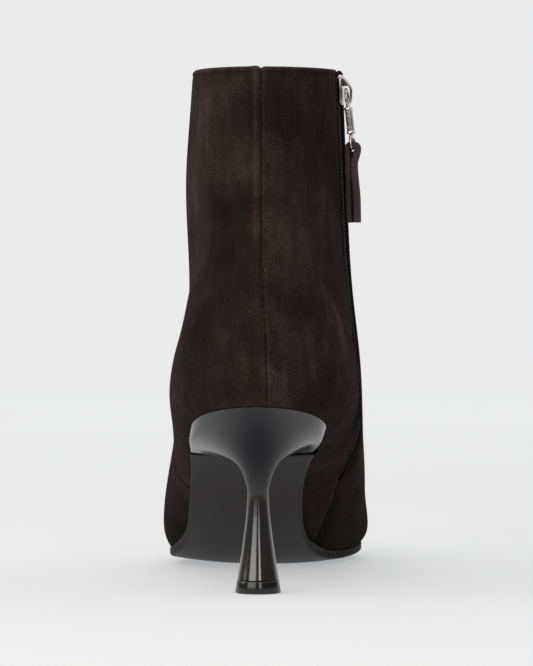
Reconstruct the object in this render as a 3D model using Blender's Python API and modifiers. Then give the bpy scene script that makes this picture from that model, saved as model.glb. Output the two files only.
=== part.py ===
"""Left ankle boot in suede: flared heel, thin sole, zip on the inner side.

Tables are in millimetres in the frame of the last: x towards the inner side of the foot,
y forward from the back of the heel, z up from the floor. Blender units are metres.
"""
import math
from collections import namedtuple

import bmesh
import bpy
import numpy as np
from mathutils import Matrix, Vector

MM = 0.001
GAP = 0.3
MERGE = 0.02
PROBE = 0.01

# Upper
WALL = 1.8
# back_y and back_z lie on the back seam line, front_y and front_z on the ridge of the vamp and shaft
Level = namedtuple("Level", "back_y back_z front_y front_z")
LEVEL_ROWS = (
    (3.0, 66.3, 244.0, 12.4),
    (0.8, 73.0, 246.0, 17.0),
    (0.0, 82.0, 241.0, 24.0),
    (0.3, 92.0, 226.0, 30.5),
    (1.5, 101.0, 203.0, 39.0),
    (3.0, 110.0, 176.0, 52.5),
    (4.8, 119.0, 150.5, 70.0),
    (6.0, 129.0, 128.5, 92.0),
    (6.6, 140.0, 113.0, 115.5),
    (6.5, 153.0, 106.0, 140.0),
    (6.0, 168.0, 104.5, 163.0),
    (5.0, 184.5, 105.0, 184.5),
)
TOP_LEVEL = len(LEVEL_ROWS) - 1
FEATHER = Level(*LEVEL_ROWS[0])
# Half widths over the sine of the turn, at shares of the way from back to front
STATIONS = (0.0, 0.1, 0.2, 0.38, 0.52, 0.62, 0.70, 0.80, 0.90, 1.0)
WIDTH_COLUMNS = (
    "level", "back", "seat", "breast", "waist", "shank", "joint", "ball", "toe_root", "toe", "tip")
OUTER_WIDTHS = (
    (0, 53.8, 39.7, 31.0, 27.7, 31.5, 38.5, 39.5, 36.7, 32.0, 25.0),
    (1, 57.0, 47.5, 37.5, 32.0, 36.5, 41.2, 41.8, 38.5, 34.0, 27.0),
    (2, 58.0, 49.0, 40.4, 34.0, 37.5, 40.8, 41.0, 37.5, 33.0, 25.0),
    (4, 50.0, 43.0, 37.0, 31.5, 33.5, 36.0, 36.5, 35.5, 32.0, 26.0),
    (6, 34.0, 32.5, 30.6, 27.5, 28.8, 30.5, 31.3, 31.3, 30.0, 27.0),
    (7, 29.5, 28.5, 27.4, 25.9, 26.4, 27.2, 27.8, 28.0, 27.6, 26.5),
    (9, 27.8, 27.4, 27.0, 26.8, 26.8, 26.8, 26.8, 26.8, 26.6, 26.0),
    (10, 26.6, 26.2, 25.9, 25.6, 25.6, 25.6, 25.6, 25.6, 25.5, 25.0),
    (11, 25.0, 24.8, 24.5, 24.2, 24.2, 24.2, 24.2, 24.4, 24.4, 24.0),
)
INNER_WIDTHS = (
    (0, 53.8, 39.7, 24.4, 14.4, 16.6, 25.2, 35.2, 40.0, 33.4, 25.0),
    (1, 57.0, 48.3, 35.5, 27.0, 29.6, 34.0, 40.0, 41.6, 34.5, 27.0),
    (2, 58.0, 50.8, 42.2, 34.8, 35.8, 37.6, 40.3, 40.0, 34.0, 25.0),
    (4, 50.0, 45.0, 41.4, 37.1, 36.8, 37.3, 37.5, 36.0, 32.0, 26.0),
    (6, 36.0, 36.2, 35.8, 35.0, 35.6, 36.0, 36.0, 35.0, 32.0, 28.0),
    (7, 33.5, 33.8, 33.4, 33.0, 33.4, 33.6, 33.6, 33.0, 31.0, 28.0),
    (9, 31.6, 31.4, 31.0, 31.0, 31.0, 31.0, 31.0, 30.6, 29.6, 27.6),
    (10, 30.8, 30.6, 30.3, 30.2, 30.2, 30.2, 30.1, 29.8, 29.0, 27.4),
    (11, 30.0, 29.8, 29.6, 29.5, 29.5, 29.5, 29.4, 29.2, 28.4, 27.0),
)
TOE_SWING = 4.0
SWING_START = 90.0
SWING_LENGTH = 156.0
SEAM_COLUMNS = ("level", "back", "zip", "outer")
SEAM_TURNS = (
    (0.0, 3.9, 96.0, -72.0),
    (1.2, 3.6, 76.5, -75.0),
    (2.0, 3.4, 71.8, -76.5),
    (3.0, 3.2, 71.0, -78.0),
    (6.0, 2.8, 74.0, -84.0),
    (11.0, 2.8, 73.5, -86.0),
)
SLIT_END = 1.2
SLIT_TAPER = 1.6
SLIT_END_HALF = 0.8
SLIT_HALF = 4.2
REAR_COLUMNS = 11
FRONT_COLUMNS = 24
ROWS_BELOW_SLIT = 4
ROWS_ABOVE_SLIT = 15

# Sole: centre line of its upper side, and how far it bows up at half the ball width from there
SOLE_COLUMNS = ("y", "height", "bow")
SOLE_ROWS = (
    (0.0, 67.2, 0.0),
    (25.0, 59.4, 0.0),
    (50.0, 50.2, 0.4),
    (75.0, 37.8, 1.2),
    (100.0, 24.0, 2.2),
    (120.0, 14.2, 2.8),
    (140.0, 6.6, 3.1),
    (155.0, 3.6, 3.2),
    (170.0, 2.9, 3.3),
    (200.0, 4.4, 3.0),
    (246.0, 11.5, 2.0),
)
BALL_HALF = 36.0
OUTER_BOW = 0.72
SOLE_THICK = 3.0
TREAD_SINK = 0.5
SOLE_LIP = 0.5
BREAST_Y = 48.0
SOLE_STATIONS = 32
SOLE_ACROSS = 10

# Insole
INSOLE_THICK = 2.2
INSOLE_INSET = 2.7

# Heel: rings from under the seat down to the tip
LIFT_HEIGHT = 4.5
HeelRow = namedtuple("HeelRow", "back_y back_z front_y front_z half_width open_outer open_inner")
HEEL_ROWS = (
    (4.0, 62.6, 48.0, 48.0, 23.6, 1.0, 0.80),
    (6.0, 57.0, 44.5, 47.4, 20.0, 0.86, 0.66),
    (8.8, 51.2, 38.0, 45.4, 14.0, 0.74, 0.62),
    (11.8, 45.4, 32.2, 42.6, 8.2, 0.72, 0.66),
    (14.4, 40.4, 28.4, 39.4, 5.2, 0.4, 0.4),
    (15.7, 35.0, 26.6, 35.0, 3.85, 0.0, 0.0),
    (15.5, 28.0, 26.6, 28.0, 4.2, 0.0, 0.0),
    (14.7, 18.0, 27.3, 18.0, 5.35, 0.0, 0.0),
    (13.8, 10.0, 28.2, 10.0, 6.5, 0.0, 0.0),
    (13.0, LIFT_HEIGHT + GAP, 29.0, LIFT_HEIGHT + GAP, 7.4, 0.0, 0.0),
)
HEEL_SIDE_STEPS = 14
HEEL_BREAST_STEPS = 6
HEEL_MIDDLE = 0.55
LIFT_TOP = (15.0, 16.2)
LIFT_FOOT = (16.2, 17.2)
LIFT_CENTRE_Y = 21.0
LIFT_SIDES = 32
LIFT_ROUND = 0.4

# Zip
TAPE_LAP = 2.2
TAPE_THICK = 0.7
TAPE_LEVELS = (1.1, 10.85)
CHAIN_SHARE = 0.54
CHAIN_THICK = 1.2
CHAIN_SINK = 0.4
CHAIN_LEVELS = (1.35, 10.85)
ZIP_COLUMNS = 4
ZIP_ROWS = 20
SLIDER_LEVEL = 10.62
SLIDER_WIDE = 7.6
SLIDER_NARROW = 5.8
SLIDER_LONG = 10.6
SLIDER_THICK = 1.3
SLIDER_BASE = -0.1
SLIDER_ROUND = 0.4
BRIDGE_WIDE = 1.8
BRIDGE_BAR = 1.0
BRIDGE_REACH = 2.7
BRIDGE_RISE = 2.4
BRIDGE_STEPS = 12
PIVOT_RISE = 1.15

# Pull link, from its hinge bar down
LINK_LEAN = 6.5
LINK_COLUMNS = ("along", "half_width")
LINK_ROWS = (
    (-0.6, 1.6), (0.0, 2.4), (2.0, 3.0), (4.5, 2.6), (6.6, 1.5), (8.0, 1.6),
    (14.6, 1.6), (15.8, 1.9), (17.2, 3.4), (19.0, 3.8), (20.6, 3.7), (21.6, 3.2),
)
LINK_THICK = 1.1
LINK_GRIP = (7.2, 14.8)
LINK_GRIP_HALF = 1.9
LINK_GRIP_THICK = 2.2
LINK_GRIP_ROUND = 0.5
LINK_STEPS = 30
Hole = namedtuple("Hole", "start end half_width corner")
LINK_EYE = Hole(0.7, 5.6, 1.5, 1.3)
LINK_LOOP = Hole(17.7, 20.4, 2.75, 0.3)

# Folded tab on the link
TAB_BAR = 21.0
TAB_LOOP_OUT = 2.35
TAB_LOOP_IN = 1.2
TAB_LONG = 26.5
TAB_NECK = 1.6
TAB_FOOT = 1.85
TAB_WIDE = 4.8
TAB_LEAN = 1.0
TAB_STEPS = 14
TAB_BORE_SIDES = 20


def spline(knots, values):
    """Natural cubic through a table, returned as a function of the first column."""
    x = np.asarray(knots, dtype=float)
    y = np.asarray(values, dtype=float)
    step = np.diff(x)
    slope = np.diff(y, axis=0) / (step[:, None] if y.ndim > 1 else step)
    system = np.eye(len(x))
    right = np.zeros_like(y)
    for i in range(1, len(x) - 1):
        system[i, i - 1:i + 2] = step[i - 1], 2.0 * (step[i - 1] + step[i]), step[i]
        right[i] = 6.0 * (slope[i] - slope[i - 1])
    bend = np.linalg.solve(system, right)

    def curve(at):
        i = int(np.clip(np.searchsorted(x, at) - 1, 0, len(x) - 2))
        a = at - x[i]
        first = slope[i] - step[i] * (2.0 * bend[i] + bend[i + 1]) / 6.0
        third = (bend[i + 1] - bend[i]) / (6.0 * step[i])
        return y[i] + a * first + a * a * bend[i] / 2.0 + a ** 3 * third

    return curve


def column(rows, columns, name):
    """One named column of a table."""
    place = columns.index(name)
    return [row[place] for row in rows]


level_line = spline(range(len(LEVEL_ROWS)), LEVEL_ROWS)
sole_height = spline(column(SOLE_ROWS, SOLE_COLUMNS, "y"), column(SOLE_ROWS, SOLE_COLUMNS, "height"))
sole_bow = spline(column(SOLE_ROWS, SOLE_COLUMNS, "y"), column(SOLE_ROWS, SOLE_COLUMNS, "bow"))
outer_line = spline(column(OUTER_WIDTHS, WIDTH_COLUMNS, "level"), [row[1:] for row in OUTER_WIDTHS])
inner_line = spline(column(INNER_WIDTHS, WIDTH_COLUMNS, "level"), [row[1:] for row in INNER_WIDTHS])
seam_line = spline(column(SEAM_TURNS, SEAM_COLUMNS, "level"), [row[1:] for row in SEAM_TURNS])


def ease(share):
    """Smooth step from 0 to 1."""
    share = min(max(share, 0.0), 1.0)
    return share * share * (3.0 - 2.0 * share)


def swing(y):
    """Sideways shift of the middle line, which turns inwards towards the toe."""
    share = np.clip((y - SWING_START) / SWING_LENGTH, 0.0, 1.0)
    return TOE_SWING * share * share


def sole_top(x, y):
    """Height of the sole's upper side, bowed up towards its edges."""
    side = (x - swing(y)) / BALL_HALF
    bow = sole_bow(y) * (1.0 if side > 0.0 else OUTER_BOW)
    return sole_height(y) + bow * side * side


def ring_width(turn, level, share):
    """Sideways reach of a ring of the upper from its middle line."""
    widths = (inner_line if math.sin(turn) >= 0.0 else outer_line)(level)
    return math.sin(turn) * spline(STATIONS, widths)(share)


def last_point(turn, level):
    """Point on the outside of the upper: turn 0 at the back, pi at the toe, inner side positive."""
    line = Level(*level_line(level))
    share = (1.0 - math.cos(turn)) / 2.0
    y = line.back_y + (line.front_y - line.back_y) * share
    foot_y = FEATHER.back_y + (FEATHER.front_y - FEATHER.back_y) * share
    foot_x = swing(foot_y) + ring_width(turn, 0.0, share)
    sag = sole_top(foot_x, foot_y) - FEATHER.back_z - (FEATHER.front_z - FEATHER.back_z) * share
    fade = 1.0 - ease(level / TOP_LEVEL)
    z = line.back_z + (line.front_z - line.back_z) * share + sag * fade
    return Vector((swing(y) + ring_width(turn, level, share), y, z))


def along_ring(turn, level):
    """Change of the upper's point with the turn."""
    return (last_point(turn + PROBE, level) - last_point(turn - PROBE, level)) / (2.0 * PROBE)


def last_normal(turn, level):
    """Outward direction of the upper at a point."""
    upward = last_point(turn, min(level + PROBE, TOP_LEVEL)) - last_point(turn, max(level - PROBE, 0.0))
    return along_ring(turn, level).cross(upward).normalized()


def seam(name, level):
    """Turn of a seam at a level, in radians."""
    return math.radians(float(seam_line(level)[SEAM_COLUMNS.index(name) - 1]))


def zip_point(level):
    """Point of the zip's middle line at a level."""
    return last_point(seam("zip", level), level)


def beside_zip(level, across):
    """Turn at a distance square to the zip's middle line, positive towards the toe."""
    turn = seam("zip", level)
    ring = along_ring(turn, level)
    run = zip_point(min(level + PROBE, TOP_LEVEL)) - zip_point(max(level - PROBE, 0.0))
    slant = ring.normalized().cross(run.normalized()).length
    return turn + across / (slant * ring.length)


def slit_half(level):
    """Half width of the slit, narrowing to its lower end."""
    return SLIT_END_HALF + (SLIT_HALF - SLIT_END_HALF) * ease((level - SLIT_END) / SLIT_TAPER)


def footprint(y, inner, inset=0.0):
    """Sideways place of the sole's edge at y."""
    back = FEATHER.back_y + inset
    front = FEATHER.front_y - inset
    share = min(max((y - back) / (front - back), 0.0), 1.0)
    widths = (inner_line if inner else outer_line)(0.0)
    half = 2.0 * math.sqrt(share * (1.0 - share)) * spline(STATIONS, widths)(share)
    half = max(half - inset, 0.0)
    return swing(y) + (half if inner else -half)


def grid(columns, rows):
    """Flat grid whose vertices carry their share of the way across and up as x and y."""
    bm = bmesh.new()
    bmesh.ops.create_grid(bm, x_segments=columns, y_segments=rows, size=0.5)
    for vert in bm.verts:
        vert.co += Vector((0.5, 0.5, 0.0))
    return bm


def place(bm, point):
    """Move each vertex of a grid to the point that a function gives for its two shares."""
    for vert in bm.verts:
        vert.co = point(vert.co.x, vert.co.y)


def finish(bm, name, material, smooth=True):
    """Close a bmesh into a named object in metres."""
    bmesh.ops.remove_doubles(bm, verts=bm.verts[:], dist=MERGE)
    if all(edge.is_manifold for edge in bm.edges):
        bmesh.ops.recalc_face_normals(bm, faces=bm.faces[:])
        if bm.calc_volume(signed=True) < 0.0:
            bmesh.ops.reverse_faces(bm, faces=bm.faces[:])
    bmesh.ops.scale(bm, vec=(MM, MM, MM), verts=bm.verts[:])
    mesh = bpy.data.meshes.new(name)
    bm.to_mesh(mesh)
    bm.free()
    for face in mesh.polygons:
        face.use_smooth = smooth
    mesh.materials.append(material)
    item = bpy.data.objects.new(name, mesh)
    parts.objects.link(item)
    return item


def material(name, colour, roughness, metallic=0.0):
    """Plain surface for one piece."""
    made = bpy.data.materials.new(name)
    made.use_nodes = True
    surface = made.node_tree.nodes["Principled BSDF"]
    surface.inputs["Base Color"].default_value = (*colour, 1.0)
    surface.inputs["Roughness"].default_value = roughness
    surface.inputs["Metallic"].default_value = metallic
    made.diffuse_color = (*colour, 1.0)
    return made


def new_verts(done):
    """Vertices that an extrusion made."""
    return [item for item in done["geom"] if isinstance(item, bmesh.types.BMVert)]


def sheet_solid(name, surface, near_point, far_point, columns, rows):
    """Solid between two surfaces that share a grid."""
    bm = grid(columns, rows)
    shares = bm.verts.layers.float_vector.new("shares")
    for vert in bm.verts:
        vert[shares] = vert.co
    place(bm, near_point)
    bmesh.ops.remove_doubles(bm, verts=bm.verts[:], dist=MERGE)
    done = bmesh.ops.extrude_face_region(bm, geom=bm.faces[:], use_keep_orig=True)
    for vert in new_verts(done):
        vert.co = far_point(vert[shares].x, vert[shares].y)
    bm.verts.layers.float_vector.remove(shares)
    return finish(bm, name, surface)


def prism(outline, wide):
    """Straight solid across x from a side outline of y and z."""
    bm = bmesh.new()
    face = bm.faces.new([bm.verts.new((-wide / 2.0, y, z)) for y, z in outline])
    done = bmesh.ops.extrude_face_region(bm, geom=[face], use_keep_orig=True)
    bmesh.ops.translate(bm, verts=new_verts(done), vec=(wide, 0.0, 0.0))
    return bm


def seam_columns(level):
    """Turns of the upper's grid columns at a level: rear inner, slit, front, rear outer."""
    back = seam("back", level)
    outer = seam("outer", level) + 2.0 * math.pi
    rear_inner = np.linspace(back, beside_zip(level, -slit_half(level)), REAR_COLUMNS + 1)
    front = np.linspace(beside_zip(level, slit_half(level)), outer, FRONT_COLUMNS + 1)
    rear_outer = np.linspace(outer, back + 2.0 * math.pi, REAR_COLUMNS + 1)
    return np.concatenate([rear_inner, front, rear_outer[1:]])


def build_upper():
    """Hollow shell, slit from the collar down the inner side."""
    below = np.linspace(0.0, SLIT_END, ROWS_BELOW_SLIT + 1)
    above = np.linspace(SLIT_END, TOP_LEVEL, ROWS_ABOVE_SLIT + 1)
    levels = np.concatenate([below, above[1:]])
    turns = [seam_columns(level) for level in levels]
    columns = len(turns[0]) - 1
    rows = len(levels) - 1
    bm = grid(columns, rows)
    slit = []
    for face in bm.faces:
        middle = face.calc_center_median()
        if int(middle.x * columns) == REAR_COLUMNS and int(middle.y * rows) >= ROWS_BELOW_SLIT:
            slit.append(face)
    bmesh.ops.delete(bm, geom=slit, context="FACES")

    def point(across, up):
        row = round(up * rows)
        return last_point(turns[row][round(across * columns)], float(levels[row]))

    place(bm, point)
    item = finish(bm, "upper", suede)
    shell = item.modifiers.new("wall", "SOLIDIFY")
    shell.thickness = WALL * MM
    shell.offset = -1.0
    shell.use_even_offset = True
    shell.use_quality_normals = True
    return item


def sole_y(up):
    """Station of the sole at a share of its length, closer together at the tip."""
    tip = FEATHER.front_y + SOLE_LIP
    return BREAST_Y + GAP + (tip - BREAST_Y - GAP) * math.sin(up * math.pi / 2.0)


def build_outsole():
    """Sole plate from the heel breast to the toe, flat where it treads."""

    def edge(across, up):
        y = sole_y(up)
        side = 2.0 * across - 1.0
        inner = footprint(y, True, -SOLE_LIP)
        outer = footprint(y, False, -SOLE_LIP)
        if up == 1.0:
            inner = outer = swing(y)
        return outer + (inner - outer) * across, y, side

    def top(across, up):
        x, y, side = edge(across, up)
        return Vector((x, y, sole_top(x, y) - GAP))

    def bottom(across, up):
        x, y, side = edge(across, up)
        low = sole_top(x, y) - GAP - SOLE_THICK
        return Vector((x, y, max(low - TREAD_SINK * (1.0 - side * side), 0.0)))

    return sheet_solid("outsole", lacquer, top, bottom, SOLE_ACROSS, SOLE_STATIONS)


def build_insole():
    """Footbed that closes the upper underneath."""
    back = FEATHER.back_y + INSOLE_INSET
    front = FEATHER.front_y - INSOLE_INSET * 2.0

    def edge(across, up):
        y = back + (front - back) * (1.0 - math.cos(up * math.pi)) / 2.0
        inner = footprint(y, True, INSOLE_INSET)
        outer = footprint(y, False, INSOLE_INSET)
        if up in (0.0, 1.0):
            inner = outer = swing(y)
        x = outer + (inner - outer) * across
        return Vector((x, y, sole_top(x, y)))

    def bottom(across, up):
        return edge(across, up) + Vector((0.0, 0.0, GAP))

    def top(across, up):
        return edge(across, up) + Vector((0.0, 0.0, GAP + INSOLE_THICK))

    return sheet_solid("insole", lining, top, bottom, SOLE_ACROSS - 2, SOLE_STATIONS - 2)


def ease_shares(steps):
    """Shares of a way, closer together at both ends."""
    return [(1.0 - math.cos(math.pi * step / steps)) / 2.0 for step in range(steps + 1)]


def close_breast(outer, inner):
    """Ring from the outer breast corner round the back to the inner one, then across the breast."""
    ring = outer[::-1] + inner[1:]
    first, last = ring[0], ring[-1]
    return ring + [last.lerp(first, step / HEEL_BREAST_STEPS) for step in range(1, HEEL_BREAST_STEPS + 1)]


def heel_ring(row):
    """One ring of the heel, round at the back and open towards the breast."""

    def side(half, share_open):
        points = []
        for share in ease_shares(HEEL_SIDE_STEPS):
            if share < HEEL_MIDDLE:
                width = math.sqrt(1.0 - (1.0 - share / HEEL_MIDDLE) ** 2)
            else:
                past = (share - HEEL_MIDDLE) / (1.0 - HEEL_MIDDLE)
                width = math.sqrt(max(1.0 - (1.0 - share_open ** 2) * past * past, 0.0))
            y = row.back_y + (row.front_y - row.back_y) * share
            points.append(Vector((half * width, y, row.back_z + (row.front_z - row.back_z) * share)))
        return points

    return close_breast(side(-row.half_width, row.open_outer), side(row.half_width, row.open_inner))


def seat_ring():
    """Top ring of the heel, which follows the edge of the upper."""

    def side(inner):
        points = []
        for share in ease_shares(HEEL_SIDE_STEPS):
            y = FEATHER.back_y + (BREAST_Y - FEATHER.back_y) * share
            x = footprint(y, inner)
            points.append(Vector((x, y, sole_top(x, y) - GAP)))
        return points

    return close_breast(side(False), side(True))


def middle_line(ring, height):
    """Ring drawn together onto its middle line, to close a face."""
    return [Vector((0.0, point.y, height(point.y))) for point in ring]


def build_heel():
    """Flared heel from the seat to the tip, with a hollow breast."""
    seat = seat_ring()
    rings = [middle_line(seat, lambda y: sole_top(0.0, y) - GAP), seat]
    rings += [heel_ring(HeelRow(*row)) for row in HEEL_ROWS]
    rings.append(middle_line(rings[-1], lambda y: LIFT_HEIGHT + GAP))
    rows = len(rings) - 1
    columns = len(seat) - 1
    bm = grid(columns, rows)
    place(bm, lambda across, up: rings[round(up * rows)][round(across * columns)])
    return finish(bm, "heel", lacquer)


def build_lift():
    """Tip under the heel."""
    bm = bmesh.new()
    tall = LIFT_HEIGHT
    made = bmesh.ops.create_cone(
        bm, cap_ends=True, segments=LIFT_SIDES, radius1=0.5, radius2=0.5, depth=tall)
    for vert in made["verts"]:
        wide, deep = LIFT_TOP if vert.co.z > 0.0 else LIFT_FOOT
        vert.co = Vector((vert.co.x * wide, vert.co.y * deep + LIFT_CENTRE_Y, vert.co.z + tall / 2.0))
    rim = [edge for edge in bm.edges if all(vert.co.z < tall / 2.0 for vert in edge.verts)]
    bmesh.ops.bevel(bm, geom=rim, offset=LIFT_ROUND, segments=2, profile=0.5, affect="EDGES")
    return finish(bm, "heel_top_lift", rubber)


def zip_sheet(name, surface, half, depth, thick, levels):
    """Band that follows the slit at a depth under the outside of the upper."""
    low, high = levels

    def at(across, up, deep):
        level = low + (high - low) * up
        turn = beside_zip(level, half(level) * (2.0 * across - 1.0))
        return last_point(turn, level) - last_normal(turn, level) * deep

    return sheet_solid(
        name, surface,
        lambda across, up: at(across, up, depth),
        lambda across, up: at(across, up, depth + thick), ZIP_COLUMNS, ZIP_ROWS)


def slider_frame():
    """Axes at the slider: x across towards the heel, y down the zip, z outwards."""
    turn = seam("zip", SLIDER_LEVEL)
    origin = last_point(turn, SLIDER_LEVEL)
    outward = last_normal(turn, SLIDER_LEVEL)
    outward.z = 0.0
    outward.normalize()
    down = Vector((0.0, 0.0, -1.0))
    across = down.cross(outward)
    frame = Matrix((across, down, outward)).transposed().to_4x4()
    frame.translation = origin
    return frame


def arch(rise, reach, base, wide):
    """Arched prism in the slider's own axes."""
    sweep = np.linspace(0.0, math.pi, BRIDGE_STEPS + 1)
    return prism([(reach * math.cos(turn), base + rise * math.sin(turn)) for turn in sweep], wide)


def cut(item, bm, frame, operation):
    """Boolean of an object with a bmesh kept as a hidden cutter."""
    bmesh.ops.transform(bm, matrix=frame, verts=bm.verts[:])
    bmesh.ops.recalc_face_normals(bm, faces=bm.faces[:])
    bmesh.ops.scale(bm, vec=(MM, MM, MM), verts=bm.verts[:])
    mesh = bpy.data.meshes.new(item.name + "_tool")
    bm.to_mesh(mesh)
    bm.free()
    tool = bpy.data.objects.new(mesh.name, mesh)
    tool.hide_render = True
    tool.display_type = "WIRE"
    cutters.objects.link(tool)
    change = item.modifiers.new(operation.lower(), "BOOLEAN")
    change.operation = operation
    change.solver = "EXACT"
    change.object = tool


def block(size, centre):
    """Box as a bmesh."""
    bm = bmesh.new()
    bmesh.ops.create_cube(bm, size=1.0)
    bmesh.ops.scale(bm, vec=size, verts=bm.verts[:])
    bmesh.ops.translate(bm, vec=centre, verts=bm.verts[:])
    return bm


def build_slider(frame):
    """Slider plate with its arched bridge."""
    bm = block((1.0, SLIDER_LONG, SLIDER_THICK), (0.0, 0.0, SLIDER_BASE + SLIDER_THICK / 2.0))
    for vert in bm.verts:
        vert.co.x *= SLIDER_WIDE if vert.co.y < 0.0 else SLIDER_NARROW
    bmesh.ops.bevel(bm, geom=bm.edges[:], offset=SLIDER_ROUND, segments=1, profile=0.5, affect="EDGES")
    bmesh.ops.transform(bm, matrix=frame, verts=bm.verts[:])
    item = finish(bm, "zip_slider", steel, smooth=False)
    face = SLIDER_BASE + SLIDER_THICK
    root = SLIDER_THICK / 2.0
    bow = arch(BRIDGE_RISE + BRIDGE_BAR + root, BRIDGE_REACH + BRIDGE_BAR, face - root, BRIDGE_WIDE)
    cut(item, bow, frame, "UNION")
    cut(item, arch(BRIDGE_RISE, BRIDGE_REACH, face, BRIDGE_WIDE * 2.0), frame, "DIFFERENCE")
    return item


def hole_tool(shape):
    """Cutter through the link with rounded corners."""
    deep = LINK_GRIP_THICK * 3.0
    size = (2.0 * shape.half_width, shape.end - shape.start, deep)
    bm = block(size, (0.0, (shape.start + shape.end) / 2.0, 0.0))
    upright = [edge for edge in bm.edges if abs(edge.verts[0].co.z - edge.verts[1].co.z) > deep / 2.0]
    bmesh.ops.bevel(bm, geom=upright, offset=shape.corner, segments=4, profile=0.5, affect="EDGES")
    return bm


def build_link(frame):
    """Metal link that hangs from the bridge."""
    stations = column(LINK_ROWS, LINK_COLUMNS, "along")
    outline = spline(stations, column(LINK_ROWS, LINK_COLUMNS, "half_width"))

    def side(across, up, height):
        along = stations[0] + (stations[-1] - stations[0]) * up
        return frame @ Vector(((2.0 * across - 1.0) * outline(along), along, height))

    item = sheet_solid(
        "zip_pull", steel,
        lambda across, up: side(across, up, LINK_THICK / 2.0),
        lambda across, up: side(across, up, -LINK_THICK / 2.0), 2, LINK_STEPS)
    low, high = LINK_GRIP
    grip = block((2.0 * LINK_GRIP_HALF, high - low, LINK_GRIP_THICK), (0.0, (low + high) / 2.0, 0.0))
    bmesh.ops.bevel(
        grip, geom=grip.edges[:], offset=LINK_GRIP_ROUND, segments=1, profile=0.5, affect="EDGES")
    cut(item, grip, frame, "UNION")
    cut(item, hole_tool(LINK_EYE), frame, "DIFFERENCE")
    cut(item, hole_tool(LINK_LOOP), frame, "DIFFERENCE")
    return item


def build_tab(frame):
    """Suede tab folded through the end of the link."""
    join = math.asin(TAB_NECK / TAB_LOOP_OUT)
    sweep = np.linspace(join, 2.0 * math.pi - join, TAB_STEPS + 1)
    outline = [(TAB_LOOP_OUT * math.cos(turn), TAB_LOOP_OUT * math.sin(turn)) for turn in sweep]
    outline += [(TAB_LONG, -TAB_FOOT), (TAB_LONG, TAB_FOOT)]
    bm = prism(outline, TAB_WIDE)
    bmesh.ops.transform(bm, matrix=frame, verts=bm.verts[:])
    item = finish(bm, "zip_pull_tab", suede, smooth=False)
    bore = bmesh.new()
    bmesh.ops.create_cone(
        bore, cap_ends=True, segments=TAB_BORE_SIDES, radius1=TAB_LOOP_IN, radius2=TAB_LOOP_IN,
        depth=TAB_WIDE * 2.0)
    bmesh.ops.rotate(bore, matrix=Matrix.Rotation(math.pi / 2.0, 3, "Y"), verts=bore.verts[:])
    cut(item, bore, frame, "DIFFERENCE")
    return item


def hang(items, axis_point):
    """Parent the pieces that swing to an empty on their axis."""
    hinge = bpy.data.objects.new("pull_hinge", None)
    hinge.location = axis_point * MM
    parts.objects.link(hinge)
    for item in items:
        item.parent = hinge
        item.matrix_parent_inverse = Matrix.Translation(-hinge.location)


def settle():
    """Move everything so that the origin lies under the middle of the boot's box."""
    graph = bpy.context.evaluated_depsgraph_get()
    solids = [item.evaluated_get(graph) for item in parts.objects if item.type == "MESH"]
    corners = np.array([item.matrix_world @ Vector(corner) for item in solids for corner in item.bound_box])
    middle = (corners.min(axis=0) + corners.max(axis=0)) / 2.0
    shift = Vector((middle[0], middle[1], corners[:, 2].min()))
    for item in (*parts.objects, *cutters.objects):
        if item.parent is None:
            item.location -= shift


for old in list(bpy.data.objects):
    bpy.data.objects.remove(old)
parts = bpy.data.collections.new("ankle_boot")
cutters = bpy.data.collections.new("cutters")
bpy.context.scene.collection.children.link(parts)
bpy.context.scene.collection.children.link(cutters)

suede = material("suede", (0.030, 0.019, 0.016), 0.9)
lining = material("lining", (0.30, 0.22, 0.16), 0.8)
lacquer = material("lacquer", (0.012, 0.010, 0.009), 0.2)
rubber = material("rubber", (0.008, 0.008, 0.008), 0.5)
woven = material("woven_black", (0.006, 0.006, 0.007), 0.8)
steel = material("steel", (0.70, 0.69, 0.66), 0.25, 1.0)

build_upper()
build_outsole()
build_insole()
build_heel()
build_lift()
zip_sheet(
    "zip_tape", woven, lambda level: slit_half(level) + TAPE_LAP, WALL + GAP, TAPE_THICK, TAPE_LEVELS)
zip_sheet(
    "zip_chain", woven, lambda level: slit_half(level) * CHAIN_SHARE, CHAIN_SINK, CHAIN_THICK, CHAIN_LEVELS)
slider = slider_frame()
build_slider(slider)
pivot = slider @ Matrix.Translation((0.0, 0.0, SLIDER_BASE + SLIDER_THICK + PIVOT_RISE))
link = pivot @ Matrix.Rotation(math.radians(LINK_LEAN), 4, "X")
pull = build_link(link)
tab = link @ Matrix.Translation((0.0, TAB_BAR, 0.0))
tab = tab @ Matrix.Rotation(math.radians(TAB_LEAN - LINK_LEAN), 4, "X")
hang((pull, build_tab(tab)), pivot.translation)
settle()
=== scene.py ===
"""Dressed left ankle boot: suede upper, glossy heel and sole, inner zip with its hanging pull."""
from __future__ import annotations

import logging
import math
from dataclasses import dataclass
from enum import Enum
from functools import cached_property
from typing import Any, NamedTuple, Optional, Sequence, Union

import bmesh
import bpy
import numpy as np
from mathutils import Matrix, Vector


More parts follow.
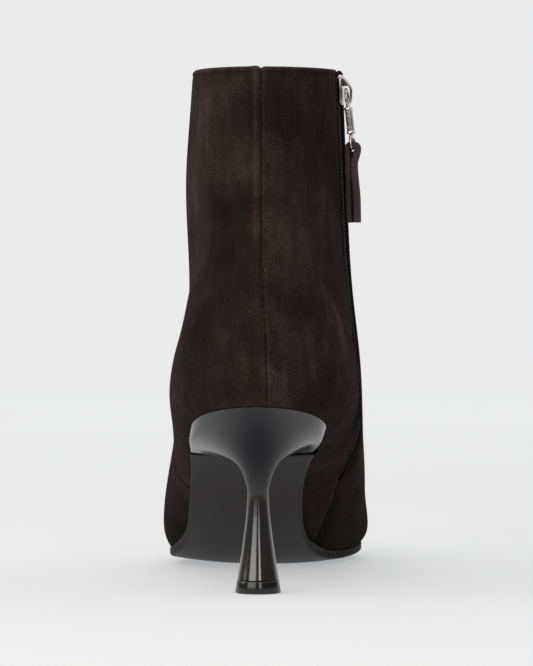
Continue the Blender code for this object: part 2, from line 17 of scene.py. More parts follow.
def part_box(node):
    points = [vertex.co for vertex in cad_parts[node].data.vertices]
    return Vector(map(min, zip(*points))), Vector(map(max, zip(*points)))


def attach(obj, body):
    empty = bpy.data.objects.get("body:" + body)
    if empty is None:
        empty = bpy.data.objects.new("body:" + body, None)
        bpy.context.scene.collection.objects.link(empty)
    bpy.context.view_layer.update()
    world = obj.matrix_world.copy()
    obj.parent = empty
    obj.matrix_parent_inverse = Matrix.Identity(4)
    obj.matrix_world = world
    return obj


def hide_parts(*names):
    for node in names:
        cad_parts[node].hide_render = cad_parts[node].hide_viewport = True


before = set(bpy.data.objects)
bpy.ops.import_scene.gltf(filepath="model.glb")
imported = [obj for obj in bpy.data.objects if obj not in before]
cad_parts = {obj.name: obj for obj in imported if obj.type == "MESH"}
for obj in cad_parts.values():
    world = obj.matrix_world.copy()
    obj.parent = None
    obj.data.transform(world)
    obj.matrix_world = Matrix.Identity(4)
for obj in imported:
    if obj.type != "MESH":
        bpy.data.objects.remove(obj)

LOG = logging.getLogger("ankle_boot")
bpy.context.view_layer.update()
MM = 0.001
PROBE = 0.01
MERGE = 0.004
GAP = 0.3
WALL = 1.8
SMOOTH = 180.0
FULL_TURN = 2.0 * math.pi
Numbers = np.ndarray
Triple = tuple[float, float, float]
Colour = Triple


class Body(Enum):
    """Bodies of the frame that pieces ride on."""

    BOOT = "boot"
    PULL = "pull"


class Slot(Enum):
    """Finish slots of the record."""

    SUEDE = "suede"
    SOLE = "sole"
    LINING = "lining"
    HEEL = "heel"
    LIFT = "lift"
    TAPE = "tape"
    HARDWARE = "hardware"


class Seam(Enum):
    """Seam lines of the upper, by their column in the seam table."""

    BACK = 0
    ZIP = 1
    OUTER = 2


# Sections of the last in millimetres, from the feather edge up to the collar, with the columns
# back_y, back_z, front_y and front_z
LEVEL_ROWS = (
    (3.0, 66.3, 244.0, 12.4),
    (0.8, 73.0, 246.0, 17.0),
    (0.0, 82.0, 241.0, 24.0),
    (0.3, 92.0, 226.0, 30.5),
    (1.5, 101.0, 203.0, 39.0),
    (3.0, 110.0, 176.0, 52.5),
    (4.8, 119.0, 150.5, 70.0),
    (6.0, 129.0, 128.5, 92.0),
    (6.6, 140.0, 113.0, 115.5),
    (6.5, 153.0, 106.0, 140.0),
    (6.0, 168.0, 104.5, 163.0),
    (5.0, 184.5, 105.0, 184.5),
)
TOP_LEVEL = len(LEVEL_ROWS) - 1
FOOT_BACK_Y, FOOT_BACK_Z, FOOT_FRONT_Y, FOOT_FRONT_Z = LEVEL_ROWS[0]

# Half widths in millimetres, a row for each of the width levels and a column for each station:
# back, seat, breast, waist, shank, joint, ball, toe root, toe and tip
STATIONS = (0.0, 0.1, 0.2, 0.38, 0.52, 0.62, 0.70, 0.80, 0.90, 1.0)
WIDTH_LEVELS = (0.0, 1.0, 2.0, 4.0, 6.0, 7.0, 9.0, 10.0, 11.0)
OUTER_WIDTHS = (
    (53.8, 39.7, 31.0, 27.7, 31.5, 38.5, 39.5, 36.7, 32.0, 25.0),
    (57.0, 47.5, 37.5, 32.0, 36.5, 41.2, 41.8, 38.5, 34.0, 27.0),
    (58.0, 49.0, 40.4, 34.0, 37.5, 40.8, 41.0, 37.5, 33.0, 25.0),
    (50.0, 43.0, 37.0, 31.5, 33.5, 36.0, 36.5, 35.5, 32.0, 26.0),
    (34.0, 32.5, 30.6, 27.5, 28.8, 30.5, 31.3, 31.3, 30.0, 27.0),
    (29.5, 28.5, 27.4, 25.9, 26.4, 27.2, 27.8, 28.0, 27.6, 26.5),
    (27.8, 27.4, 27.0, 26.8, 26.8, 26.8, 26.8, 26.8, 26.6, 26.0),
    (26.6, 26.2, 25.9, 25.6, 25.6, 25.6, 25.6, 25.6, 25.5, 25.0),
    (25.0, 24.8, 24.5, 24.2, 24.2, 24.2, 24.2, 24.4, 24.4, 24.0),
)
INNER_WIDTHS = (
    (53.8, 39.7, 24.4, 14.4, 16.6, 25.2, 35.2, 40.0, 33.4, 25.0),
    (57.0, 48.3, 35.5, 27.0, 29.6, 34.0, 40.0, 41.6, 34.5, 27.0),
    (58.0, 50.8, 42.2, 34.8, 35.8, 37.6, 40.3, 40.0, 34.0, 25.0),
    (50.0, 45.0, 41.4, 37.1, 36.8, 37.3, 37.5, 36.0, 32.0, 26.0),
    (36.0, 36.2, 35.8, 35.0, 35.6, 36.0, 36.0, 35.0, 32.0, 28.0),
    (33.5, 33.8, 33.4, 33.0, 33.4, 33.6, 33.6, 33.0, 31.0, 28.0),
    (31.6, 31.4, 31.0, 31.0, 31.0, 31.0, 31.0, 30.6, 29.6, 27.6),
    (30.8, 30.6, 30.3, 30.2, 30.2, 30.2, 30.1, 29.8, 29.0, 27.4),
    (30.0, 29.8, 29.6, 29.5, 29.5, 29.5, 29.4, 29.2, 28.4, 27.0),
)
TOE_SWING = 4.0
SWING_START = 90.0
SWING_LENGTH = 156.0

# Turns of the back seam, the zip and the outer side seam in degrees, a row for each seam level
SEAM_LEVELS = (0.0, 1.2, 2.0, 3.0, 6.0, 11.0)
SEAM_TURNS = (
    (3.9, 96.0, -72.0),
    (3.6, 76.5, -75.0),
    (3.4, 71.8, -76.5),
    (3.2, 71.0, -76.0),
    (2.8, 74.0, -77.0),
    (2.8, 73.5, -79.0),
)
SLIT_END = 1.2
SLIT_TAPER = 1.6
SLIT_END_HALF = 0.8
SLIT_HALF = 4.2

# Centre line of the sole's upper side in millimetres, with the columns y, height and bow, which is
# the rise towards the edges at the ball
SOLE_ROWS = (
    (0.0, 67.2, 0.0),
    (25.0, 59.4, 0.0),
    (50.0, 50.2, 0.4),
    (75.0, 37.8, 1.2),
    (100.0, 24.0, 2.2),
    (120.0, 14.2, 2.8),
    (140.0, 6.6, 3.1),
    (155.0, 3.6, 3.2),
    (170.0, 2.9, 3.3),
    (200.0, 4.4, 3.0),
    (246.0, 11.5, 2.0),
)
BALL_HALF = 36.0
OUTER_BOW = 0.72
BREAST_Y = 48.0


def ease(share: Numbers) -> Numbers:
    """Smooth step from 0 to 1.

    Args:
        share: Places on the way, clipped to 0 and 1.

    Returns:
        Eased shares.
    """
    share = np.clip(share, 0.0, 1.0)
    return share * share * (3.0 - 2.0 * share)


def bell(distance: Numbers, reach: float) -> Numbers:
    """Soft bump of height 1 that falls off over a reach.

    Args:
        distance: Distances from its middle.
        reach: Distance at which it has fallen to about a third.

    Returns:
        Heights of the bump.
    """
    return np.exp(-((distance / reach) ** 2))


def rounded(count: int) -> Numbers:
    """Shares from 0 to 1 that lie closer at both ends."""
    return (1.0 - np.cos(np.linspace(0.0, math.pi, count + 1))) / 2.0


def only(values: Numbers) -> float:
    """The one value of an array."""
    return float(values[0])


def run_along(line: Numbers) -> Numbers:
    """Lengths from the start of a line to each of its points."""
    return np.concatenate([[0.0], np.cumsum(np.linalg.norm(np.diff(line, axis=0), axis=1))])


@dataclass(frozen=True)
class NaturalCubic:
    """Natural cubic through fixed knots, read at whole arrays of places."""

    knots: tuple[float, ...]

    @cached_property
    def bends(self) -> Numbers:
        """Matrix that turns values at the knots into second slopes there.

        Returns:
            A row and a column for each knot.
        """
        place = np.asarray(self.knots, float)
        step = np.diff(place)
        count = len(place)
        system = np.eye(count)
        right = np.zeros((count, count))
        for i in range(1, count - 1):
            before, after = step[i - 1], step[i]
            system[i, i - 1:i + 2] = before, 2.0 * (before + after), after
            right[i, i - 1:i + 2] = 6.0 / before, -6.0 / before - 6.0 / after, 6.0 / after
        return np.linalg.solve(system, right)

    def at(self, values: Numbers, place: Numbers) -> Numbers:
        """Read the curve.

        Args:
            values: One row of knot values for all places, or a row for each place.
            place: Places to read.

        Returns:
            A value for each place.
        """
        knots = np.asarray(self.knots, float)
        place = np.atleast_1d(np.asarray(place, float))
        rows = np.atleast_2d(np.asarray(values, float))
        bend = rows @ self.bends.T
        pick = np.arange(len(place)) if len(rows) > 1 else np.zeros(len(place), int)
        i = np.clip(np.searchsorted(knots, place) - 1, 0, len(knots) - 2)
        step = np.diff(knots)[i]
        past = place - knots[i]
        low, high = rows[pick, i], rows[pick, i + 1]
        bend_low, bend_high = bend[pick, i], bend[pick, i + 1]
        slope = (high - low) / step - step * (2.0 * bend_low + bend_high) / 6.0
        third = (bend_high - bend_low) / (6.0 * step)
        return low + past * slope + past * past * bend_low / 2.0 + past ** 3 * third

    def table(self, rows: Sequence[Sequence[float]], place: Numbers) -> Numbers:
        """Read every column of a table.

        Args:
            rows: A row of values for each knot.
            place: Places to read.

        Returns:
            A row of values for each place.
        """
        return np.stack([self.at(values, place) for values in np.asarray(rows, float).T], axis=-1)


def steady_loft(knots: Numbers, rings: Numbers, place: Numbers) -> Numbers:
    """Loft through rings that never swings past them.

    Args:
        knots: Distance of each ring along the loft.
        rings: Rings by points by x, y and z.
        place: Distances to read.

    Returns:
        A ring for each place.
    """
    step = np.diff(knots)[:, None, None]
    pitch = np.diff(rings, axis=0) / step
    before, after = pitch[:-1], pitch[1:]
    same = before * after > 0.0
    safe = np.where(same, before + after, 1.0)
    slope = np.zeros_like(rings)
    slope[1:-1] = np.where(same, 2.0 * before * after / safe, 0.0)
    slope[0], slope[-1] = pitch[0], pitch[-1]
    i = np.clip(np.searchsorted(knots, place) - 1, 0, len(knots) - 2)
    wide = step[i]
    t = ((place - knots[i])[:, None, None]) / wide
    rise = ease(t)
    return (
        rings[i] * (1.0 - rise) + rings[i + 1] * rise
        + wide * t * (1.0 - t) * (slope[i] * (1.0 - t) - slope[i + 1] * t)
    )


LEVEL_CURVE = NaturalCubic(tuple(range(len(LEVEL_ROWS))))
STATION_CURVE = NaturalCubic(STATIONS)
WIDTH_CURVE = NaturalCubic(WIDTH_LEVELS)
SEAM_CURVE = NaturalCubic(SEAM_LEVELS)
SOLE_CURVE = NaturalCubic(tuple(row[0] for row in SOLE_ROWS))


@dataclass(frozen=True)
class Last:
    """Outside of the upper in millimetres, worked out from the sections of the last.

    A turn runs round the foot, from 0 at the back over +90 degrees on the inner side to 180 at the
    toe.
    """

    shift: Triple

    def swing(self, y: Numbers) -> Numbers:
        """Sideways shift of the middle line, which turns inwards towards the toe."""
        return TOE_SWING * np.clip((y - SWING_START) / SWING_LENGTH, 0.0, 1.0) ** 2

    def sole_top(self, x: Numbers, y: Numbers) -> Numbers:
        """Height of the sole's upper side.

        Args:
            x: Sideways places.
            y: Places along the foot.

        Returns:
            Heights above the floor.
        """
        height, bow = SOLE_CURVE.table([row[1:] for row in SOLE_ROWS], y).T
        side = (x - self.swing(y)) / BALL_HALF
        return height + bow * np.where(side > 0.0, 1.0, OUTER_BOW) * side * side

    def half_width(self, turn: Numbers, level: Numbers, share: Numbers) -> Numbers:
        """Sideways reach of a ring from its middle line.

        Args:
            turn: Turns in radians.
            level: Levels from the feather edge.
            share: Shares of the way from back to front.

        Returns:
            Signed reaches, positive on the inner side.
        """
        inner = WIDTH_CURVE.table(INNER_WIDTHS, level)
        outer = WIDTH_CURVE.table(OUTER_WIDTHS, level)
        widths = np.where((np.sin(turn) >= 0.0)[:, None], inner, outer)
        return np.sin(turn) * STATION_CURVE.at(widths, share)

    def point(self, turn: Numbers, level: Numbers) -> Numbers:
        """Points on the outside of the upper.

        Args:
            turn: Turns in radians.
            level: Levels from the feather edge.

        Returns:
            A row of x, y and z for each.
        """
        turn = np.atleast_1d(turn).astype(float)
        turn, level = np.broadcast_arrays(turn, np.asarray(level, float))
        back_y, back_z, front_y, front_z = LEVEL_CURVE.table(LEVEL_ROWS, level).T
        share = (1.0 - np.cos(turn)) / 2.0
        y = back_y + (front_y - back_y) * share
        foot_y = FOOT_BACK_Y + (FOOT_FRONT_Y - FOOT_BACK_Y) * share
        foot_x = self.swing(foot_y) + self.half_width(turn, np.zeros_like(level), share)
        sag = self.sole_top(foot_x, foot_y) - FOOT_BACK_Z - (FOOT_FRONT_Z - FOOT_BACK_Z) * share
        z = back_z + (front_z - back_z) * share + sag * (1.0 - ease(level / TOP_LEVEL))
        x = self.swing(y) + self.half_width(turn, level, share)
        return np.stack([x, y, z], axis=-1) + np.asarray(self.shift)

    def along_ring(self, turn: Numbers, level: Numbers) -> Numbers:
        """Change of the point with the turn.

        Args:
            turn: Turns in radians.
            level: Levels from the feather edge.

        Returns:
            A vector for each.
        """
        return (self.point(turn + PROBE, level) - self.point(turn - PROBE, level)) / (2.0 * PROBE)

    def probe(self, level: Numbers) -> tuple[Numbers, Numbers]:
        """Levels just below and just above, held on the last."""
        return np.maximum(level - PROBE, 0.0), np.minimum(level + PROBE, TOP_LEVEL)

    def normal(self, turn: Numbers, level: Numbers) -> Numbers:
        """Outward directions.

        Args:
            turn: Turns in radians.
            level: Levels from the feather edge.

        Returns:
            A unit vector for each.
        """
        low, high = self.probe(level)
        upward = self.point(turn, high) - self.point(turn, low)
        across = np.cross(self.along_ring(turn, level), upward)
        return across / np.linalg.norm(across, axis=-1, keepdims=True)

    def seam(self, seam: Seam, level: Numbers) -> Numbers:
        """Turns of a seam at levels, in radians."""
        return np.radians(SEAM_CURVE.at([row[seam.value] for row in SEAM_TURNS], level))

    def seam_scale(self, seam: Seam, level: Numbers) -> Numbers:
        """Millimetres square to a seam for a radian of turn.

        Args:
            seam: The seam.
            level: Levels from the feather edge.

        Returns:
            A scale for each level.
        """
        ring = self.along_ring(self.seam(seam, level), level)
        low, high = self.probe(level)
        run = self.point(self.seam(seam, high), high) - self.point(self.seam(seam, low), low)
        run = run / np.linalg.norm(run, axis=-1, keepdims=True)
        return np.linalg.norm(np.cross(ring, run), axis=-1)

    def slit_half(self, level: Numbers) -> Numbers:
        """Half width of the zip's slit, narrowing to its lower end."""
        return SLIT_END_HALF + (SLIT_HALF - SLIT_END_HALF) * ease((level - SLIT_END) / SLIT_TAPER)

    def slit_at(self, level: float) -> float:
        """Half width of the zip's slit at one level."""
        return only(self.slit_half(np.array([level])))

    def beside_zip(self, level: Numbers, across: Numbers) -> Numbers:
        """Turns at distances square to the zip's middle line, positive towards the toe."""
        return self.seam(Seam.ZIP, level) + across / self.seam_scale(Seam.ZIP, level)

    def footprint(self, y: Numbers, inner: bool, inset: float = 0.0) -> Numbers:
        """Sideways places of the sole's edge.

        Args:
            y: Places along the foot.
            inner: Whether the inner edge is meant.
            inset: Distance inside the edge.

        Returns:
            Sideways places without the frame's shift.
        """
        back, front = FOOT_BACK_Y + inset, FOOT_FRONT_Y - inset
        share = np.clip((y - back) / (front - back), 0.0, 1.0)
        widths = (INNER_WIDTHS if inner else OUTER_WIDTHS)[0]
        half = 2.0 * np.sqrt(share * (1.0 - share)) * STATION_CURVE.at(widths, share)
        half = np.maximum(half - inset, 0.0)
        return self.swing(y) + (half if inner else -half)

    def plate(
        self, y: Numbers, share: Numbers, inset: float, pointed: Sequence[int],
    ) -> tuple[Numbers, Numbers]:
        """Grid over the sole's upper side from the outer to the inner edge.

        Args:
            y: Places along the foot, one for each row.
            share: Shares of the way across, one for each column.
            inset: Distance inside the edge.
            pointed: Numbers of the rows that close to a point.

        Returns:
            Places without the frame's shift, and the width of each row.
        """
        inner, outer = (self.footprint(y, side, inset) for side in (True, False))
        for row in pointed:
            inner[row] = outer[row] = only(self.swing(y[row:][:1]))
        width = inner - outer
        x = outer[:, None] + width[:, None] * share[None, :]
        deep = np.repeat(y[:, None], len(share), axis=1)
        high = self.sole_top(x.reshape(-1), deep.reshape(-1)).reshape(x.shape)
        return np.stack([x, deep, high], axis=-1), width


Value = Union["Signal", float, int]


@dataclass(frozen=True)
class Signal:
    """Output of a shader node that takes part in sums as a number does."""

    graph: "Graph"
    socket: bpy.types.NodeSocket

    def __add__(self, other: Value) -> "Signal":
        """Sum."""
        return self.graph.math("ADD", self, other)

    def __sub__(self, other: Value) -> "Signal":
        """Difference."""
        return self.graph.math("SUBTRACT", self, other)

    def __rsub__(self, other: Value) -> "Signal":
        """Difference with a number first."""
        return self.graph.math("SUBTRACT", other, self)

    def __mul__(self, other: Value) -> "Signal":
        """Product."""
        return self.graph.math("MULTIPLY", self, other)

    def __truediv__(self, other: Value) -> "Signal":
        """Quotient."""
        return self.graph.math("DIVIDE", self, other)

    def __rtruediv__(self, other: Value) -> "Signal":
        """Quotient with a number first."""
        return self.graph.math("DIVIDE", other, self)

    __radd__ = __add__
    __rmul__ = __mul__

    def __neg__(self) -> "Signal":
        """Opposite."""
        return self.graph.math("MULTIPLY", self, -1.0)

    def __abs__(self) -> "Signal":
        """Size without its sign."""
        return self.graph.math("ABSOLUTE", self)

    def exp(self) -> "Signal":
        """Natural exponential."""
        return self.graph.math("EXPONENT", self)

    def sine(self) -> "Signal":
        """Sine of radians."""
        return self.graph.math("SINE", self)

    def fract(self) -> "Signal":
        """Part after the point."""
        return self.graph.math("FRACT", self)

    def clip(self) -> "Signal":
        """Value held between 0 and 1."""
        return self.graph.math("MINIMUM", self.graph.math("MAXIMUM", self, 0.0), 1.0)

    def ramp(self, steep: float, start: float = 0.0) -> "Signal":
        """Climb from 0 to 1: steep times the value, less the start, held between them."""
        return (self * steep - start).clip()

    def about(self, level: float, spread: float) -> "Signal":
        """Noise about 0.5 made to stray about a level."""
        return level + (self - 0.5) * spread

    def line(self, middle: Value, reach: float) -> "Signal":
        """Soft line of height 1.

        Args:
            middle: Where the line lies.
            reach: Distance at which it has fallen to about a third.

        Returns:
            Height of the line.
        """
        off = (self - middle) / reach
        return (-(off * off)).exp()


class Graph:
    """Node tree of one material or of the surround, with its shader."""

    def __init__(self, owner: Union[bpy.types.Material, bpy.types.World], shader: str) -> None:
        """Start a tree with a plain shader.

        Args:
            owner: Material or surround that the tree belongs to.
            shader: Name of the shader that it starts with.
        """
        owner.use_nodes = True
        self.owner = owner
        self.tree = owner.node_tree
        self.shader = self.tree.nodes[shader]

    def node(
        self, kind: str, settings: dict[str, Any], values: dict[Any, Any], output: Any = 0,
    ) -> Signal:
        """Add a node.

        Args:
            kind: Type name of the node.
            settings: Attributes of the node.
            values: Socket values or signals, by socket name or number.
            output: Name or number of the output wanted.

        Returns:
            The output as a signal.
        """
        made = self.tree.nodes.new(kind)
        for name, value in settings.items():
            setattr(made, name, value)
        for name, value in values.items():
            if isinstance(value, Signal):
                self.tree.links.new(value.socket, made.inputs[name])
            else:
                made.inputs[name].default_value = value
        return Signal(self, made.outputs[output])

    def math(self, operation: str, *values: Value) -> Signal:
        """Sum of one kind over numbers and signals."""
        return self.node("ShaderNodeMath", {"operation": operation}, dict(enumerate(values)))

    def mix(self, low: Any, high: Any, share: Value) -> Signal:
        """Blend two colours.

        Args:
            low: Colour or signal at share 0.
            high: Colour or signal at share 1.
            share: Share of the second.

        Returns:
            The blended colour.
        """
        first, second = ((*end, 1.0) if isinstance(end, tuple) else end for end in (low, high))
        values = {0: share, 6: first, 7: second}
        return self.node("ShaderNodeMix", {"data_type": "RGBA"}, values, 2)

    def split(self, vector: Signal) -> list[Signal]:
        """Parts of a vector along x, y and z."""
        parts = self.node("ShaderNodeSeparateXYZ", {}, {0: vector}).socket.node.outputs
        return [Signal(self, part) for part in parts]

    def place(self, scale: Triple = (1.0, 1.0, 1.0)) -> Signal:
        """Object coordinates stretched by a scale."""
        here = self.node("ShaderNodeTexCoord", {}, {}, "Object")
        return self.node("ShaderNodeMapping", {}, {"Vector": here, "Scale": scale})

    def noise(
        self, scale: Union[float, Triple], detail: float = 2.0, roughness: float = 0.5,
    ) -> Signal:
        """Cloud noise about 0.5 over the piece.

        Args:
            scale: Clouds to a metre, for all axes or for each.
            detail: Finer layers.
            roughness: Weight of the finer layers.

        Returns:
            Noise from 0 to 1.
        """
        here = self.place(scale if isinstance(scale, tuple) else (scale, scale, scale))
        values = {"Vector": here, "Scale": 1.0, "Detail": detail, "Roughness": roughness}
        return self.node("ShaderNodeTexNoise", {}, values, "Fac")

    def attribute(self, name: str) -> Signal:
        """Number stored on the piece's points."""
        return self.node("ShaderNodeAttribute", {"attribute_name": name}, {}, "Fac")

    def bump(self, height: Signal, deep: float) -> None:
        """Feed a bump into the shader.

        Args:
            height: Height from 0 to 1.
            deep: Depth of a height of 1 in millimetres.
        """
        values = {"Height": height, "Strength": 1.0, "Distance": deep * MM}
        self.feed("Normal", self.node("ShaderNodeBump", {}, values))

    def feed(self, name: str, value: Any) -> None:
        """Set or link a socket of the shader.

        Args:
            name: Name of the socket.
            value: Signal to link, or a constant.
        """
        if isinstance(value, Signal):
            self.tree.links.new(value.socket, self.shader.inputs[name])
            return
        socket = self.shader.inputs[name]
        socket.default_value = (*value, 1.0) if isinstance(value, tuple) else value


@dataclass(frozen=True)
class Finish:
    """Material worked out from a few named values."""

    name: str

    def paint(self, graph: Graph) -> None:
        """Lay the colour, the gloss and the grain.

        Args:
            graph: Tree of the material.
        """
        raise NotImplementedError

    def make(self) -> bpy.types.Material:
        """Build the material.

        Returns:
            The material.
        """
        graph = Graph(bpy.data.materials.new(self.name), "Principled BSDF")
        self.paint(graph)
        return graph.owner


@dataclass(frozen=True)
class NapLayer:
    """Noise in the nap: clouds to a metre along each axis, fineness, weight in tone and height."""

    scale: Triple
    detail: float
    roughness: float
    tone: float
    height: float = 0.0


@dataclass(frozen=True)
class SeamAndShadeLine:
    """Soft line beside a seam or an edge, which changes the tone and the height of the nap. Dark
    seam joins are the suede's own; lighter lines are painted highlight on raised lips and edges,
    and darker lines beside them painted shade in grooves.

    The mark is the attribute that holds the distance in millimetres, and where one that masks it.
    """

    mark: str
    middle: float
    reach: float
    tone: float
    height: float = 0.0
    where: Optional[str] = None


@dataclass(frozen=True)
class SuedeFinish(Finish):
    """Brown suede: mottled nap with a soft sheen and dark seam joins, with painted light and shade
    in patches and beside its seams and slit.
    """

    name: str = "brown_suede"
    dark: Colour = (0.0050, 0.0039, 0.0039)
    middle: Colour = (0.0190, 0.0122, 0.0118)
    light: Colour = (0.056, 0.0365, 0.0345)
    tone: float = 0.44
    roughness: float = 0.95
    specular: float = 0.02
    sheen: float = 0.02
    sheen_roughness: float = 0.45
    sheen_tint: Colour = (0.62, 0.46, 0.40)
    nap_deep: float = 0.32
    seams: bool = True
    nap_light_shade_patched: bool = True
    layers: tuple[NapLayer, ...] = (
        NapLayer((46.0, 46.0, 46.0), 3.0, 0.55, tone=0.70),
        NapLayer((240.0, 240.0, 130.0), 4.0, 0.62, tone=0.50, height=0.50),
        NapLayer((210.0, 210.0, 52.0), 4.0, 0.60, tone=0.48),
        NapLayer((1700.0, 1700.0, 1700.0), 3.0, 0.60, tone=0.90, height=0.55),
        NapLayer((5200.0, 5200.0, 2600.0), 2.0, 0.60, tone=0.60, height=0.30),
    )
    # Dark seam joins at 0; lines with a tone above 0 are painted highlight on raised lips and
    # edges, those below 0 painted shade in grooves and beside the seams
    lines: tuple[SeamAndShadeLine, ...] = (
        SeamAndShadeLine("outer_seam", 0.0, 0.35, tone=-0.70, height=-0.80),
        SeamAndShadeLine("inner_seam", 0.0, 0.35, tone=-0.70, height=-0.80),
        SeamAndShadeLine("inner_seam", -0.9, 0.45, tone=0.30),
        SeamAndShadeLine("inner_seam", 2.4, 1.90, tone=-0.26),
        SeamAndShadeLine("outer_seam", 2.0, 1.20, tone=0.36, where="pressed"),
        SeamAndShadeLine("back_seam", -2.0, 1.10, tone=0.22, where="pressed"),
        SeamAndShadeLine("below_collar", 0.0, 0.90, tone=0.30),
        SeamAndShadeLine("below_collar", 1.9, 0.35, tone=-0.12, height=-0.20),
        SeamAndShadeLine("slit_edge", 0.2, 0.70, tone=0.16),
        SeamAndShadeLine("slit_edge", 2.1, 0.35, tone=-0.20, height=-0.50),
    )
    wander: float = 0.9
    wander_scale: Triple = (300.0, 300.0, 900.0)
    dash_scale: Triple = (100.0, 100.0, 1300.0)
    dash_ramp: tuple[float, float] = (3.0, 0.95)
    join: SeamAndShadeLine = SeamAndShadeLine("back_seam", 0.0, 0.30, tone=-0.434, height=-0.496)
    # Painted highlight on the lip beside the back seam
    lip: SeamAndShadeLine = SeamAndShadeLine("back_seam", 0.8, 0.40, tone=0.14)
    prick: SeamAndShadeLine = SeamAndShadeLine("back_seam", 0.95, 0.30, tone=-0.40, height=-0.80, where="pricked")
    prick_pitch: float = 2.3
    prick_long: float = 0.16
    shade: float = 0.4

    def paint(self, graph: Graph) -> None:
        """Lay the nap, with its seams and its patches of painted light and shade where it is so.

        Args:
            graph: Tree of the material.
        """
        tone, height = self.tone, 0.0
        for layer in self.layers:
            noise = graph.noise(layer.scale, layer.detail, layer.roughness)
            tone = tone + (noise - 0.5) * layer.tone
            if layer.height:
                height = height + noise * layer.height
        if self.seams:
            tone, height = self.sew(graph, tone, height)
        # Nap patches, partly painted light and shade
        if self.nap_light_shade_patched:
            tone = tone + graph.attribute("nap_light_shade")
        lower = graph.mix(self.dark, self.middle, tone.ramp(2.0))
        graph.feed("Base Color", graph.mix(lower, self.light, tone.ramp(2.0, 1.0)))
        graph.feed("Roughness", self.roughness)
        graph.feed("Specular IOR Level", self.specular)
        graph.feed("Sheen Weight", self.sheen)
        graph.feed("Sheen Roughness", self.sheen_roughness)
        graph.feed("Sheen Tint", self.sheen_tint)
        graph.bump(height, self.nap_deep)

    def sew(self, graph: Graph, tone: Signal, height: Signal) -> tuple[Signal, Signal]:
        """Lay the dark seam joins and the painted highlight and shade beside the seams, break the
        back seam, prick its needle holes and paint shade beside the slit.

        Args:
            graph: Tree of the material.
            tone: Tone of the nap.
            height: Height of the nap.

        Returns:
            Tone and height with the sewing in them.
        """
        # Painted highlight and shade beside the seams and edges, with the dark seam joins
        for line in self.lines:
            shown = graph.attribute(line.mark).line(line.middle, line.reach)
            if line.where:
                shown = shown * graph.attribute(line.where)
            tone = tone + shown * line.tone
            if line.height:
                height = height + shown * line.height
        back = graph.attribute(self.join.mark)
        bent = back + (graph.noise(self.wander_scale) - 0.5) * self.wander
        broken = graph.noise(self.dash_scale).ramp(*self.dash_ramp)
        join = bent.line(self.join.middle, self.join.reach) * broken
        # Painted highlight on the lip beside the back seam
        lip = bent.line(self.lip.middle, self.lip.reach)
        beat = (graph.attribute("seam_run") / self.prick_pitch).fract() - 0.5
        hole = beat.line(0.0, self.prick_long) * graph.attribute(self.prick.where)
        prick = abs(back).line(self.prick.middle, self.prick.reach) * hole
        tone = tone + join * self.join.tone + lip * self.lip.tone + prick * self.prick.tone
        tone = tone - graph.attribute("shaded") * self.shade
        return tone, height + join * self.join.height + prick * self.prick.height


@dataclass(frozen=True)
class LiningFinish(Finish):
    """Plain taupe leather inside the boot, with a fine grain."""

    name: str = "taupe_lining"
    dark: Colour = (0.105, 0.075, 0.056)
    light: Colour = (0.165, 0.122, 0.094)
    roughness: float = 0.55
    cloud_scale: float = 60.0
    grain_scale: float = 1500.0
    grain_deep: float = 0.12

    def paint(self, graph: Graph) -> None:
        """Lay a cloudy colour over a pebbled grain.

        Args:
            graph: Tree of the material.
        """
        cloud = graph.noise(self.cloud_scale, 3.0)
        values = {"Vector": graph.place(), "Scale": self.grain_scale}
        grain = graph.node("ShaderNodeTexVoronoi", {"feature": "F1"}, values, "Distance")
        share = (cloud * 0.8 + grain * 0.4).clip()
        graph.feed("Base Color", graph.mix(self.dark, self.light, share))
        graph.feed("Roughness", cloud.about(self.roughness, 0.2))
        graph.bump(grain, self.grain_deep)


